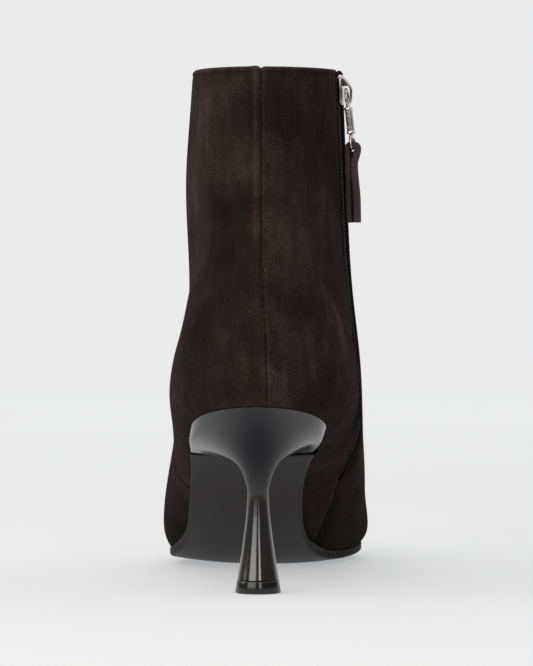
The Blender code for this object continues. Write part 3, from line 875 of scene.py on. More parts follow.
@dataclass(frozen=True)
class LacquerFinish(Finish):
    """Glossy lacquer of the heel or the sole, with fine wear.

    Its coat may be thinned at a spot, which dims the reflection there as painted shade; its base
    may be painted cooler above a height to match a cool reflection; and a gap line and a rim may be
    painted black as shade.
    Places and reaches are in metres.
    """

    colour: Colour
    worn: Colour
    roughness: float = 0.10
    gloss: float = 1.0
    coat_ior: float = 1.5
    base_roughness: float = 0.5
    # Thinning of the coat at a spot: painted shade that dims the reflection there
    dimmed_reflection: float = 0.0
    dimmed_reflection_at: tuple[float, float] = (0.0007, 0.052)
    dimmed_reflection_size: tuple[float, float] = (0.012, 0.022)
    # Cooler base above a height: painted to match the cool reflection on the heel's cup
    cool: Optional[Colour] = None
    cool_from: float = 0.033
    cool_long: float = 0.010
    black: Colour = (0.0005, 0.0005, 0.0005)
    # Black line in the gap at the heel breast and black rim: painted shade
    painted_shade: float = 0.0
    gap_shade_at: float = -0.0745
    gap_shade_reach: float = 0.0017
    rim: float = 0.0
    cloud_scale: float = 90.0
    speck_scale: float = 900.0
    scratch_scale: Triple = (2600.0, 120.0, 260.0)
    ripple_deep: float = 0.004

    def paint(self, graph: Graph) -> None:
        """Lay the paint under a clear coat that wear takes away.

        Args:
            graph: Tree of the material.
        """
        cloud = graph.noise(self.cloud_scale, 3.0)
        speck = graph.noise(self.speck_scale, 3.0, 0.6)
        scratch = graph.noise(self.scratch_scale)
        side, along, up = graph.split(graph.place())
        # Painted shade: a black line in the gap at the heel breast, and a black rim where the edge
        # is marked
        painted_shade = along.line(self.gap_shade_at, self.gap_shade_reach) * self.painted_shade
        if self.rim:
            painted_shade = (painted_shade + graph.attribute("edge") * self.rim).clip()
        paint = graph.mix(self.colour, self.worn, (cloud * 0.7 + speck * 0.3).clip())
        # Painted reflection tint: the base turns cooler above a height, where the cup's reflection
        # is cool
        if self.cool:
            paint = graph.mix(paint, self.cool, ((up - self.cool_from) / self.cool_long).clip())
        # Painted shade: the coat is thinned at this spot, which dims the reflection there
        spot = side.line(self.dimmed_reflection_at[0], self.dimmed_reflection_size[0])
        spot = spot * up.line(self.dimmed_reflection_at[1], self.dimmed_reflection_size[1])
        patchy = 1.0 - (cloud - 0.5) * 0.2 - (scratch - 0.5) * 0.1
        coat = self.gloss * (1.0 - self.dimmed_reflection * spot) * (1.0 - painted_shade) * patchy
        graph.feed("Base Color", graph.mix(paint, self.black, painted_shade))
        graph.feed("Roughness", self.base_roughness)
        graph.feed("Specular IOR Level", 0.0)
        graph.feed("Coat Weight", coat.clip())
        graph.feed("Coat Roughness", self.roughness)
        graph.feed("Coat IOR", self.coat_ior)
        graph.bump(cloud, self.ripple_deep)


@dataclass(frozen=True)
class MouldedFinish(Finish):
    """Black moulded rubber or nylon, satin with a fine grain, scuffed where a scale is given."""

    dark: Colour
    light: Colour
    roughness: float
    spread: float
    specular: float
    grain: Triple
    grain_deep: float
    scuff_scale: Optional[Triple] = None
    scuff_ramp: tuple[float, float] = (1.6, 0.6)

    def paint(self, graph: Graph) -> None:
        """Lay the grain, and scuffs over it.

        Args:
            graph: Tree of the material.
        """
        grain = shown = graph.noise(*self.grain)
        if self.scuff_scale:
            shown = graph.noise(self.scuff_scale, 3.0).ramp(*self.scuff_ramp)
        graph.feed("Base Color", graph.mix(self.dark, self.light, shown))
        graph.feed("Roughness", grain.about(self.roughness, self.spread))
        graph.feed("Specular IOR Level", self.specular)
        graph.bump(grain, self.grain_deep)


@dataclass(frozen=True)
class TapeFinish(Finish):
    """Black woven band, ribbed along its run."""

    name: str = "black_tape"
    dark: Colour = (0.0035, 0.0035, 0.0040)
    light: Colour = (0.016, 0.016, 0.018)
    roughness: float = 0.75
    specular: float = 0.05
    slant: tuple[float, float] = (3.6, 4.2)
    ribs: float = 7.5
    weave_deep: float = 0.12

    def paint(self, graph: Graph) -> None:
        """Weave slanted threads over ribs, by radians to a millimetre.

        Args:
            graph: Tree of the material.
        """
        across, run = graph.attribute("across"), graph.attribute("seam_run")
        thread = (abs(across) * self.slant[0] + run * self.slant[1]).sine() * 0.5 + 0.5
        rib = (across * self.ribs).sine() * 0.5 + 0.5
        cloth = thread * 0.6 + rib * 0.4
        graph.feed("Base Color", graph.mix(self.dark, self.light, cloth.clip()))
        graph.feed("Roughness", self.roughness)
        graph.feed("Specular IOR Level", self.specular)
        graph.bump(cloth, self.weave_deep)


@dataclass(frozen=True)
class NickelFinish(Finish):
    """Polished nickel with fine swirls, or a duller metal with deeper pits."""

    name: str = "bright_nickel"
    colour: Colour = (0.60, 0.59, 0.565)
    tarnish: Colour = (0.22, 0.21, 0.20)
    roughness: float = 0.14
    cloud_scale: float = 420.0
    cloud_ramp: tuple[float, float] = (1.4, 0.4)
    swirl_scale: Triple = (3000.0, 3000.0, 700.0)
    pit_scale: float = 2600.0
    pit_deep: float = 0.02

    def paint(self, graph: Graph) -> None:
        """Lay tarnish and swirls over fine pits.

        Args:
            graph: Tree of the material.
        """
        cloud = graph.noise(self.cloud_scale, 3.0)
        swirl = graph.noise(self.swirl_scale)
        tarnish = cloud.ramp(*self.cloud_ramp)
        graph.feed("Base Color", graph.mix(self.colour, self.tarnish, tarnish))
        graph.feed("Metallic", 1.0)
        graph.feed("Roughness", (cloud.about(self.roughness, 0.12) + swirl.about(0.0, 0.06)).clip())
        graph.bump(graph.noise(self.pit_scale), self.pit_deep)


@dataclass(frozen=True)
class FloorFinish(Finish):
    """Matt pale floor with a painted glow that keeps the contact shadow faint, glowing more far
    away and fading out round the boot, in metres.
    """

    name: str = "pale_floor"
    colour: Colour = (0.335, 0.335, 0.335)
    cloudy: Colour = (0.345, 0.345, 0.345)
    cloud_scale: float = 3.0
    roughness: float = 0.9
    specular: float = 0.1
    glow: Colour = (0.396, 0.40, 0.408)
    far_glow: Colour = (0.472, 0.476, 0.484)
    far_start: float = 0.45
    far_long: float = 0.95
    middle: Triple = (0.0, 0.62, 0.0)
    fade_start: float = 0.98
    fade_long: float = 0.55

    def away(self, graph: Graph, point: Triple) -> Signal:
        """Distance of a place on the floor from a point."""
        values = {0: graph.place(), 1: point}
        return graph.node("ShaderNodeVectorMath", {"operation": "DISTANCE"}, values, "Value")

    def paint(self, graph: Graph) -> None:
        """Lay the faint clouds, the glow and the fade.

        Args:
            graph: Tree of the material.
        """
        cloud = graph.noise(self.cloud_scale)
        far = ((self.away(graph, (0.0, 0.0, 0.0)) - self.far_start) / self.far_long).clip()
        gone = ((self.away(graph, self.middle) - self.fade_start) / self.fade_long).clip()
        graph.feed("Base Color", graph.mix(self.colour, self.cloudy, cloud))
        graph.feed("Roughness", self.roughness)
        graph.feed("Specular IOR Level", self.specular)
        # Painted light: the floor glows, which keeps the shadow round the boot faint
        graph.feed("Emission Color", graph.mix(self.glow, self.far_glow, far))
        graph.feed("Emission Strength", 1.0)
        graph.feed("Alpha", 1.0 - gone)


@dataclass(frozen=True)
class Workshop:
    """Turns bmeshes in millimetres into pieces of the frame."""

    def sheet(self, places: Numbers, loop: bool = False) -> bmesh.types.BMesh:
        """Grid laid onto an array of places.

        Args:
            places: Rows by columns of x, y and z in millimetres.
            loop: Whether the last column closes onto the first.

        Returns:
            The grid, with outward faces where across times up points outward.
        """
        rows, columns = places.shape[0] - 1, places.shape[1] - 1
        bm = bmesh.new()
        bmesh.ops.create_grid(bm, x_segments=columns, y_segments=rows, size=0.5)
        for vert in bm.verts:
            row, column = round((vert.co.y + 0.5) * rows), round((vert.co.x + 0.5) * columns)
            vert.co = places[row, column]
        if loop:
            bmesh.ops.remove_doubles(bm, verts=bm.verts[:], dist=MERGE)
        return bm

    def tag(self, bm: bmesh.types.BMesh, values: dict[str, Numbers]) -> None:
        """Store numbers on the corners of a grid before any of them are merged.

        Args:
            bm: Grid made by sheet without a loop.
            values: Numbers in the order of its rows and columns, by attribute name.
        """
        for name, numbers in values.items():
            layer = bm.verts.layers.float.new(name)
            for vert, number in zip(bm.verts, numbers.reshape(-1)):
                vert[layer] = float(number)

    def thicken(self, bm: bmesh.types.BMesh, far: Numbers) -> None:
        """Close a grid into a solid with a second set of places.

        Args:
            bm: Grid laid onto its near places, in row order.
            far: Far places, rows by columns.
        """
        layer = bm.verts.layers.int.new("corner")
        for index, vert in enumerate(bm.verts):
            vert[layer] = index
        flat = far.reshape(-1, 3)
        bmesh.ops.remove_doubles(bm, verts=bm.verts[:], dist=MERGE)
        done = bmesh.ops.extrude_face_region(bm, geom=bm.faces[:], use_keep_orig=True)
        for item in done["geom"]:
            if isinstance(item, bmesh.types.BMVert):
                item.co = flat[item[layer]]
        bm.verts.layers.int.remove(layer)
        bmesh.ops.remove_doubles(bm, verts=bm.verts[:], dist=MERGE)
        self.outward(bm)

    def outward(self, bm: bmesh.types.BMesh) -> None:
        """Turn the faces of a closed form outward.

        Args:
            bm: The form.
        """
        bmesh.ops.recalc_face_normals(bm, faces=bm.faces[:])
        if bm.calc_volume(signed=True) < 0.0:
            bmesh.ops.reverse_faces(bm, faces=bm.faces[:])

    def round_off(
        self, bm: bmesh.types.BMesh, edges: list[bmesh.types.BMEdge], radius: float, segments: int,
    ) -> None:
        """Round edges off.

        Args:
            bm: Form that they belong to.
            edges: The edges.
            radius: Width of the rounding.
            segments: Steps in it.
        """
        bmesh.ops.bevel(
            bm, geom=edges, offset=radius, segments=segments, profile=0.5, affect="EDGES",
            material=-1)

    def level_edges(
        self, bm: bmesh.types.BMesh, tall: float, upright: bool = False,
    ) -> list[bmesh.types.BMEdge]:
        """Edges that lie level, or those that stand upright.

        Args:
            bm: Form with level faces at its top and foot.
            tall: Its height.
            upright: Whether the upright edges are meant.

        Returns:
            The edges.
        """
        def climb(edge: bmesh.types.BMEdge) -> float:
            """Height between the ends of an edge."""
            return abs(edge.verts[0].co.z - edge.verts[1].co.z)

        return [edge for edge in bm.edges if (climb(edge) > tall / 2.0) == upright]

    def add(self, name: str, data: bpy.types.ID) -> bpy.types.Object:
        """Put an object into the scene.

        Args:
            name: Its name.
            data: Its mesh, light or camera.

        Returns:
            The object.
        """
        made = bpy.data.objects.new(name, data)
        bpy.context.scene.collection.objects.link(made)
        return made

    def piece(
        self, bm: bmesh.types.BMesh, name: str, body: Body,
        finishes: Sequence[bpy.types.Material], stands_for: Sequence[str] = (),
        sharp: float = SMOOTH,
    ) -> bpy.types.Object:
        """Make a piece that rides on a body.

        Args:
            bm: Form in millimetres, freed here.
            name: Name of the piece.
            body: Body that it moves with.
            finishes: Materials, by the faces' material number.
            stands_for: Solids of the frame that it replaces.
            sharp: Angle in degrees past which an edge stays crisp.

        Returns:
            The piece.
        """
        bmesh.ops.scale(bm, vec=(MM, MM, MM), verts=bm.verts[:])
        mesh = bpy.data.meshes.new(name)
        bm.to_mesh(mesh)
        bm.free()
        mesh.shade_smooth()
        if sharp < SMOOTH:
            mesh.set_sharp_from_angle(angle=math.radians(sharp))
        for finish in finishes:
            mesh.materials.append(finish)
        made = self.add(name, mesh)
        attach(made, body.value)
        if stands_for:
            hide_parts(*stands_for)
        LOG.info("%s rides on %s, %d faces", name, body.value, len(mesh.polygons))
        return made


SHOP = Workshop()


@dataclass(frozen=True)
class Crease:
    """Soft fold of the upper along a path of turns in degrees and levels."""

    name: str
    reach: float
    rise: float
    path: tuple[tuple[float, float], ...]


@dataclass(frozen=True)
class PressedLine:
    """Soft groove or ridge at a distance from a seam or an edge, in millimetres."""

    mark: str
    middle: float
    reach: float
    rise: float


@dataclass(frozen=True)
class NapLightShadePatch:
    """Patch of lighter or darker nap at a turn in degrees and a level.

    Part of it is the nap's own mottling and part painted light and shade.
    """

    turn: float
    level: float
    reach: float
    tone: float


@dataclass
class Upper:
    """Suede shell with its slit, seams, turned collar and creases."""

    last: Last
    fine: tuple[float, ...] = (0.0, 0.2, 0.42, 0.7, 1.05, 1.5, 2.1, 2.9, 4.0)
    slit_fine: tuple[float, ...] = (0.0, 0.25, 0.55, 0.95, 1.5, 2.1, 2.8, 3.8)
    collar_fine: tuple[float, ...] = (4.2, 3.2, 2.5, 1.9, 1.4, 0.95, 0.55, 0.25, 0.0)
    rear_columns: int = 34
    front_columns: int = 96
    rows_below: int = 16
    rows_above: int = 104
    collar_step: float = 16.5
    far_off: float = 99.0
    shade_reach: float = 5.0
    shade_rise: float = 2.0
    pressed_from: float = 5.6
    pressed_long: float = 2.0
    pricked: tuple[float, float] = (3.0, 6.6)
    blend: float = 0.8
    path_steps: int = 48
    ladder_steps: int = 200
    creases: tuple[Crease, ...] = (
        Crease("counter_fold", 2.3, 0.75, (
            (50.0, 4.9), (54.0, 4.2), (56.0, 3.5), (50.0, 2.4), (45.0, 1.4), (46.0, 0.6))),
        Crease("zip_valley", 3.4, -1.1, (
            (62.0, 4.8), (63.0, 3.8), (63.0, 2.8), (62.0, 1.9), (64.0, 1.2))),
        Crease("ankle_valley", 4.2, -0.8, ((34.0, 6.6), (40.0, 5.8), (46.0, 5.3), (50.0, 4.7))),
        Crease("ankle_ridge", 4.6, 0.6, ((30.0, 6.0), (36.0, 5.2), (41.0, 4.4))),
        Crease("outer_ankle", 5.0, -0.7, ((-18.0, 6.4), (-26.0, 5.6), (-34.0, 5.0), (-46.0, 4.6))),
        Crease("zip_end_fold", 1.8, -0.55, ((84.0, 1.7), (80.0, 1.2), (74.0, 0.8), (66.0, 0.5))),
        Crease("zip_end_ridge", 2.0, 0.45, ((88.0, 1.9), (85.0, 1.3), (80.0, 0.75))),
        Crease("outer_waist", 3.0, -0.4, ((-84.0, 2.2), (-80.0, 1.5), (-77.0, 0.9))),
        Crease("instep_soft", 6.0, -0.5, (
            (130.0, 6.0), (160.0, 6.2), (180.0, 6.3), (205.0, 6.2), (230.0, 6.0))),
        Crease("vamp_soft", 5.0, -0.35, (
            (128.0, 3.4), (155.0, 4.0), (180.0, 4.2), (205.0, 4.0), (232.0, 3.4))),
    )
    pressed_lines: tuple[PressedLine, ...] = (
        PressedLine("back_seam", 0.0, 0.36, -0.16),
        PressedLine("back_seam", 0.0, 1.60, -0.14),
        PressedLine("outer_seam", 0.0, 0.45, -0.40),
        PressedLine("outer_seam", 0.0, 2.00, -0.22),
        PressedLine("inner_seam", 0.0, 0.45, -0.40),
        PressedLine("inner_seam", 0.0, 2.00, -0.22),
        PressedLine("slit_edge", 0.0, 0.40, -0.55),
        PressedLine("slit_edge", 1.1, 0.60, 0.16),
        PressedLine("slit_edge", 2.1, 0.40, -0.20),
        PressedLine("below_collar", 0.0, 0.35, -0.55),
        PressedLine("below_collar", 1.0, 0.50, 0.10),
        PressedLine("below_collar", 1.9, 0.35, -0.16),
    )
    lap: PressedLine = PressedLine("back_seam", -2.0, 1.00, 0.24)
    lap_least: float = 0.3
    notch_dip: PressedLine = PressedLine("back_seam", 0.0, 0.70, -0.55)
    notch_lip: PressedLine = PressedLine("back_seam", -2.2, 1.60, 0.25)
    notch_deep: float = 2.2
    # Nap patches, partly the nap's own mottling and partly painted light and shade: lighter on the
    # outer side of the shaft towards the key light, darker low at both sides of the forefoot where
    # less light comes up from the floor
    nap_light_shade_patches: tuple[NapLightShadePatch, ...] = (
        NapLightShadePatch(-54.0, 10.0, 11.0, 0.20),
        NapLightShadePatch(-54.0, 8.5, 13.0, 0.22),
        NapLightShadePatch(-47.0, 6.6, 12.0, 0.18),
        NapLightShadePatch(-30.0, 7.8, 9.0, -0.28),
        NapLightShadePatch(-24.0, 5.8, 10.0, -0.34),
        NapLightShadePatch(-22.0, 10.4, 9.0, 0.08),
        NapLightShadePatch(-10.0, 10.2, 8.0, -0.08),
        NapLightShadePatch(-8.0, 8.6, 12.0, 0.06),
        NapLightShadePatch(16.0, 7.2, 12.0, 0.10),
        NapLightShadePatch(14.0, 6.0, 10.0, 0.08),
        NapLightShadePatch(14.0, 10.2, 10.0, -0.06),
        NapLightShadePatch(34.0, 7.8, 13.0, 0.06),
        NapLightShadePatch(33.0, 6.2, 11.0, 0.10),
        NapLightShadePatch(36.0, 10.2, 9.0, 0.04),
        NapLightShadePatch(38.0, 4.9, 8.0, 0.18),
        NapLightShadePatch(44.0, 4.1, 8.0, 0.12),
        NapLightShadePatch(10.0, 2.0, 12.0, 0.12),
        NapLightShadePatch(18.0, 2.8, 9.0, 0.10),
        NapLightShadePatch(-14.0, 2.8, 11.0, 0.05),
        NapLightShadePatch(-28.0, 3.2, 12.0, -0.14),
        NapLightShadePatch(26.0, 2.4, 9.0, 0.02),
        NapLightShadePatch(-92.0, 5.0, 16.0, 0.14),
        NapLightShadePatch(66.0, 2.6, 8.0, -0.22),
        NapLightShadePatch(90.0, 1.2, 10.0, 0.04),
        NapLightShadePatch(-100.0, 1.4, 44.0, -0.34),
        NapLightShadePatch(104.0, 1.4, 44.0, -0.24),
        NapLightShadePatch(150.0, 5.4, 22.0, 0.12),
        NapLightShadePatch(200.0, 3.6, 24.0, 0.10),
        NapLightShadePatch(165.0, 2.4, 18.0, -0.08),
    )

    def turns(self, level: float) -> Numbers:
        """Turns of the columns at a level: rear inner quarter, slit, front, rear outer quarter.

        Args:
            level: Level from the feather edge.

        Returns:
            Turns in radians, from the back seam round to it again.
        """
        here = np.array([level])
        back, outer = (only(self.last.seam(seam, here)) for seam in (Seam.BACK, Seam.OUTER))
        half = self.last.slit_at(level)
        near, far = (only(self.last.beside_zip(here, np.array([off]))) for off in (-half, half))
        sew = np.array(self.fine) / only(self.last.seam_scale(Seam.BACK, here))
        side_sew = np.array(self.fine) / only(self.last.seam_scale(Seam.OUTER, here))
        slit = np.array(self.slit_fine) / only(self.last.seam_scale(Seam.ZIP, here))
        ahead, home = outer + FULL_TURN, back + FULL_TURN
        rear_inner = self.span(back + sew, near - slit[::-1], self.rear_columns)
        front = self.span(far + slit, ahead - side_sew[::-1], self.front_columns)
        rear_outer = self.span(ahead + side_sew, home - sew[::-1], self.rear_columns)
        return np.concatenate([rear_inner, front, rear_outer[1:]])

    def span(self, start: Numbers, end: Numbers, steps: int) -> Numbers:
        """Columns from fine steps at one seam to fine steps at the next.

        Args:
            start: First turns.
            end: Last turns.
            steps: Columns between them.

        Returns:
            All turns in order.
        """
        return np.concatenate([start, np.linspace(start[-1], end[0], steps + 1)[1:-1], end])

    def levels(self) -> Numbers:
        """Levels of the rows, finer at the collar's turned edge.

        Returns:
            Levels from the feather edge up.
        """
        below = np.linspace(0.0, SLIT_END, self.rows_below + 1)
        edge = TOP_LEVEL - np.array(self.collar_fine) / self.collar_step
        above = np.linspace(SLIT_END, edge[0], self.rows_above + 1)
        return np.concatenate([below, above[1:-1], edge])

    def distance(self, points: Numbers, path: Sequence[tuple[float, float]]) -> Numbers:
        """Distances from a path on the surface.

        Args:
            points: Places, one to a row.
            path: Turns in degrees and levels.

        Returns:
            Distances in millimetres.
        """
        rows = np.asarray(path, float)
        knots = np.linspace(0.0, 1.0, len(rows))
        steps = np.linspace(0.0, 1.0, self.path_steps)
        turn, level = NaturalCubic(tuple(knots)).table(rows, steps).T
        line = self.last.point(np.radians(turn), level)
        near = np.full(len(points), np.inf)
        for place in line:
            near = np.minimum(near, np.linalg.norm(points - place, axis=1))
        return near

    def build(self, suede: bpy.types.Material, lining: bpy.types.Material) -> bpy.types.Object:
        """Lay the shell, press its seams and folds, and give it its wall.

        Args:
            suede: Material outside.
            lining: Material inside.

        Returns:
            The upper.
        """
        levels = self.levels()
        turns = np.array([self.turns(level) for level in levels])
        rows, columns = turns.shape
        level = np.repeat(levels, columns)
        turn = turns.reshape(-1)
        points = self.last.point(turn, level)
        marks = self.marks(turn, level, points)
        points = points + self.last.normal(turn, level) * self.relief(marks, points)[:, None]
        points[:, 2] += self.notch(marks)
        bm = SHOP.sheet(points.reshape(rows, columns, 3))
        SHOP.tag(bm, marks)
        self.open_slit(bm, columns, rows)
        bmesh.ops.remove_doubles(bm, verts=bm.verts[:], dist=MERGE)
        made = SHOP.piece(bm, "suede_upper", Body.BOOT, (suede, lining), ("upper",))
        wall = made.modifiers.new("wall", "SOLIDIFY")
        wall.thickness = WALL * MM
        wall.offset = -1.0
        wall.use_quality_normals = True
        wall.material_offset = 1
        wall.material_offset_rim = 0
        return made

    def open_slit(self, bm: bmesh.types.BMesh, columns: int, rows: int) -> None:
        """Delete the faces between the slit's edges above its lower end.

        Args:
            bm: The grid in row order.
            columns: Corners in a row.
            rows: Rows of corners.
        """
        gap = len(self.fine) + len(self.slit_fine) + self.rear_columns - 2
        bm.verts.ensure_lookup_table()
        slit = []
        for row in range(self.rows_below, rows - 1):
            left = bm.verts[row * columns + gap]
            right = bm.verts[(row + 1) * columns + gap + 1]
            slit += [face for face in left.link_faces if right in face.verts]
        bmesh.ops.delete(bm, geom=slit, context="FACES")

    def marks(self, turn: Numbers, level: Numbers, points: Numbers) -> dict[str, Numbers]:
        """Distances from the seams and edges, and nap patches partly of painted light and shade.

        Args:
            turn: Turns in radians.
            level: Levels from the feather edge.
            points: Places of the outside.

        Returns:
            Arrays by attribute name, in millimetres.
        """
        back = (turn - self.last.seam(Seam.BACK, level) + math.pi) % FULL_TURN - math.pi
        outer = turn - FULL_TURN - self.last.seam(Seam.OUTER, level)
        zipped = (turn - self.last.seam(Seam.ZIP, level)) * self.last.seam_scale(Seam.ZIP, level)
        ladder = np.linspace(0.0, TOP_LEVEL, self.ladder_steps)
        spine = self.last.point(self.last.seam(Seam.BACK, ladder), ladder)
        beside = np.maximum(np.abs(zipped) - self.last.slit_half(level), 0.0)
        shaded = ease(zipped / self.shade_rise) * bell(beside, self.shade_reach)
        low, high = self.pricked
        # Nap patches, partly painted light and shade, summed at each point
        nap_light_shade = np.zeros(len(turn))
        for patch in self.nap_light_shade_patches:
            spot = self.last.point(np.radians([patch.turn]), np.array([patch.level]))
            nap_light_shade += patch.tone * bell(np.linalg.norm(points - spot, axis=1), patch.reach)
        return {
            "back_seam": back * self.last.seam_scale(Seam.BACK, level),
            "outer_seam": outer * self.last.seam_scale(Seam.OUTER, level),
            "inner_seam": np.where(level < SLIT_END, zipped, self.far_off),
            "slit_edge": np.where(level < SLIT_END, self.far_off, beside),
            "below_collar": (TOP_LEVEL - level) * self.collar_step,
            "seam_run": np.interp(level, ladder, run_along(spine)),
            "shaded": shaded * ease((level - SLIT_END) / self.blend),
            "pressed": ease((level - self.pressed_from) / self.pressed_long),
            "pricked": ease((high - level) / self.blend) * ease((level - low) / self.blend),
            "nap_light_shade": nap_light_shade,
        }

    def relief(self, marks: dict[str, Numbers], points: Numbers) -> Numbers:
        """Height of the seams, edges and folds over the last.

        Args:
            marks: Distances from the seams and edges.
            points: Places of the outside.

        Returns:
            Heights in millimetres.
        """
        height = sum(self.press(line, marks) for line in self.pressed_lines)
        height += self.press(self.lap, marks) * (
            self.lap_least + (1.0 - self.lap_least) * marks["pressed"])
        for crease in self.creases:
            LOG.debug("folds %s", crease.name)
            height += crease.rise * bell(self.distance(points, crease.path), crease.reach)
        return height

    def press(self, line: PressedLine, marks: dict[str, Numbers]) -> Numbers:
        """Heights of one groove or ridge."""
        return line.rise * bell(marks[line.mark] - line.middle, line.reach)

    def notch(self, marks: dict[str, Numbers]) -> Numbers:
        """Rise of the collar where the two quarters meet at the back, below 0 in the notch."""
        rise = self.press(self.notch_dip, marks) + self.press(self.notch_lip, marks)
        return rise * bell(marks["below_collar"], self.notch_deep)


@dataclass
class Outsole:
    """Thin glossy sole from the heel breast to the toe, flat where it treads."""

    last: Last
    thick: float = 3.0
    tread_sink: float = 0.5
    lip: float = 0.5
    stations: int = 150
    across: int = 44
    soft_tread: float = 0.08
    edge_round: float = 1.4
    rim_from: float = 0.94
    crisp: float = 50.0

    def build(self, lacquer: bpy.types.Material) -> bpy.types.Object:
        """Lay the top and underside and close them.

        Args:
            lacquer: Material of the sole.

        Returns:
            The sole.
        """
        start, tip = BREAST_Y + GAP, FOOT_FRONT_Y + self.lip
        along = np.linspace(0.0, 1.0, self.stations + 1)
        y = start + (tip - start) * np.sin(along * math.pi / 2.0)
        share = rounded(self.across)
        top, width = self.last.plate(y, share, -self.lip, (-1,))
        top[..., 2] -= GAP
        side = 2.0 * share[None, :] - 1.0
        low = top[..., 2] - self.thick - self.tread_sink * (1.0 - side * side)
        inside = np.minimum(share, 1.0 - share)[None, :] * width[:, None]
        past = np.clip(self.edge_round - inside, 0.0, None)
        low = low + self.edge_round - np.sqrt(self.edge_round ** 2 - past * past)
        bottom = top.copy()
        bottom[..., 2] = (low + np.sqrt(low * low + self.soft_tread ** 2)) / 2.0
        shift = np.asarray(self.last.shift)
        bm = SHOP.sheet(top + shift)
        # Marks the sole's rim, which its finish paints black as shade
        edge = np.clip((np.abs(side) - self.rim_from) / (1.0 - self.rim_from), 0.0, 1.0)
        SHOP.tag(bm, {"edge": np.repeat(edge, len(y), axis=0)})
        SHOP.thicken(bm, bottom + shift)
        return SHOP.piece(
            bm, "sole_plate", Body.BOOT, (lacquer,), ("outsole",), self.crisp)


@dataclass
class Footbed:
    """Leather-covered insole that closes the upper underneath."""

    last: Last
    thick: float = 2.2
    inset: float = 2.7
    stations: int = 120
    across: int = 28
    crisp: float = 50.0

    def build(self, leather: bpy.types.Material) -> bpy.types.Object:
        """Lay the top and underside and close them.

        Args:
            leather: Material of the insole.

        Returns:
            The insole.
        """
        back, front = FOOT_BACK_Y + self.inset, FOOT_FRONT_Y - 2.0 * self.inset
        y = back + (front - back) * rounded(self.stations)
        share = np.linspace(0.0, 1.0, self.across + 1)
        places, _ = self.last.plate(y, share, self.inset, (0, -1))
        bottom = places + np.asarray(self.last.shift) + (0.0, 0.0, GAP)
        bm = SHOP.sheet(bottom + (0.0, 0.0, self.thick))
        SHOP.thicken(bm, bottom)
        return SHOP.piece(
            bm, "footbed", Body.BOOT, (leather,), ("insole",), self.crisp)


class HeelRow(NamedTuple):
    """Ring of the heel in millimetres.

    Each side is widest at its middle, as a share of the way from back to breast, and the open
    columns give the share of that width left at the breast.
    """

    back_y: float
    back_z: float
    front_y: float
    front_z: float
    half_outer: float
    half_inner: float
    middle_outer: float = 0.55
    open_outer: float = 0.0
    open_inner: float = 0.0


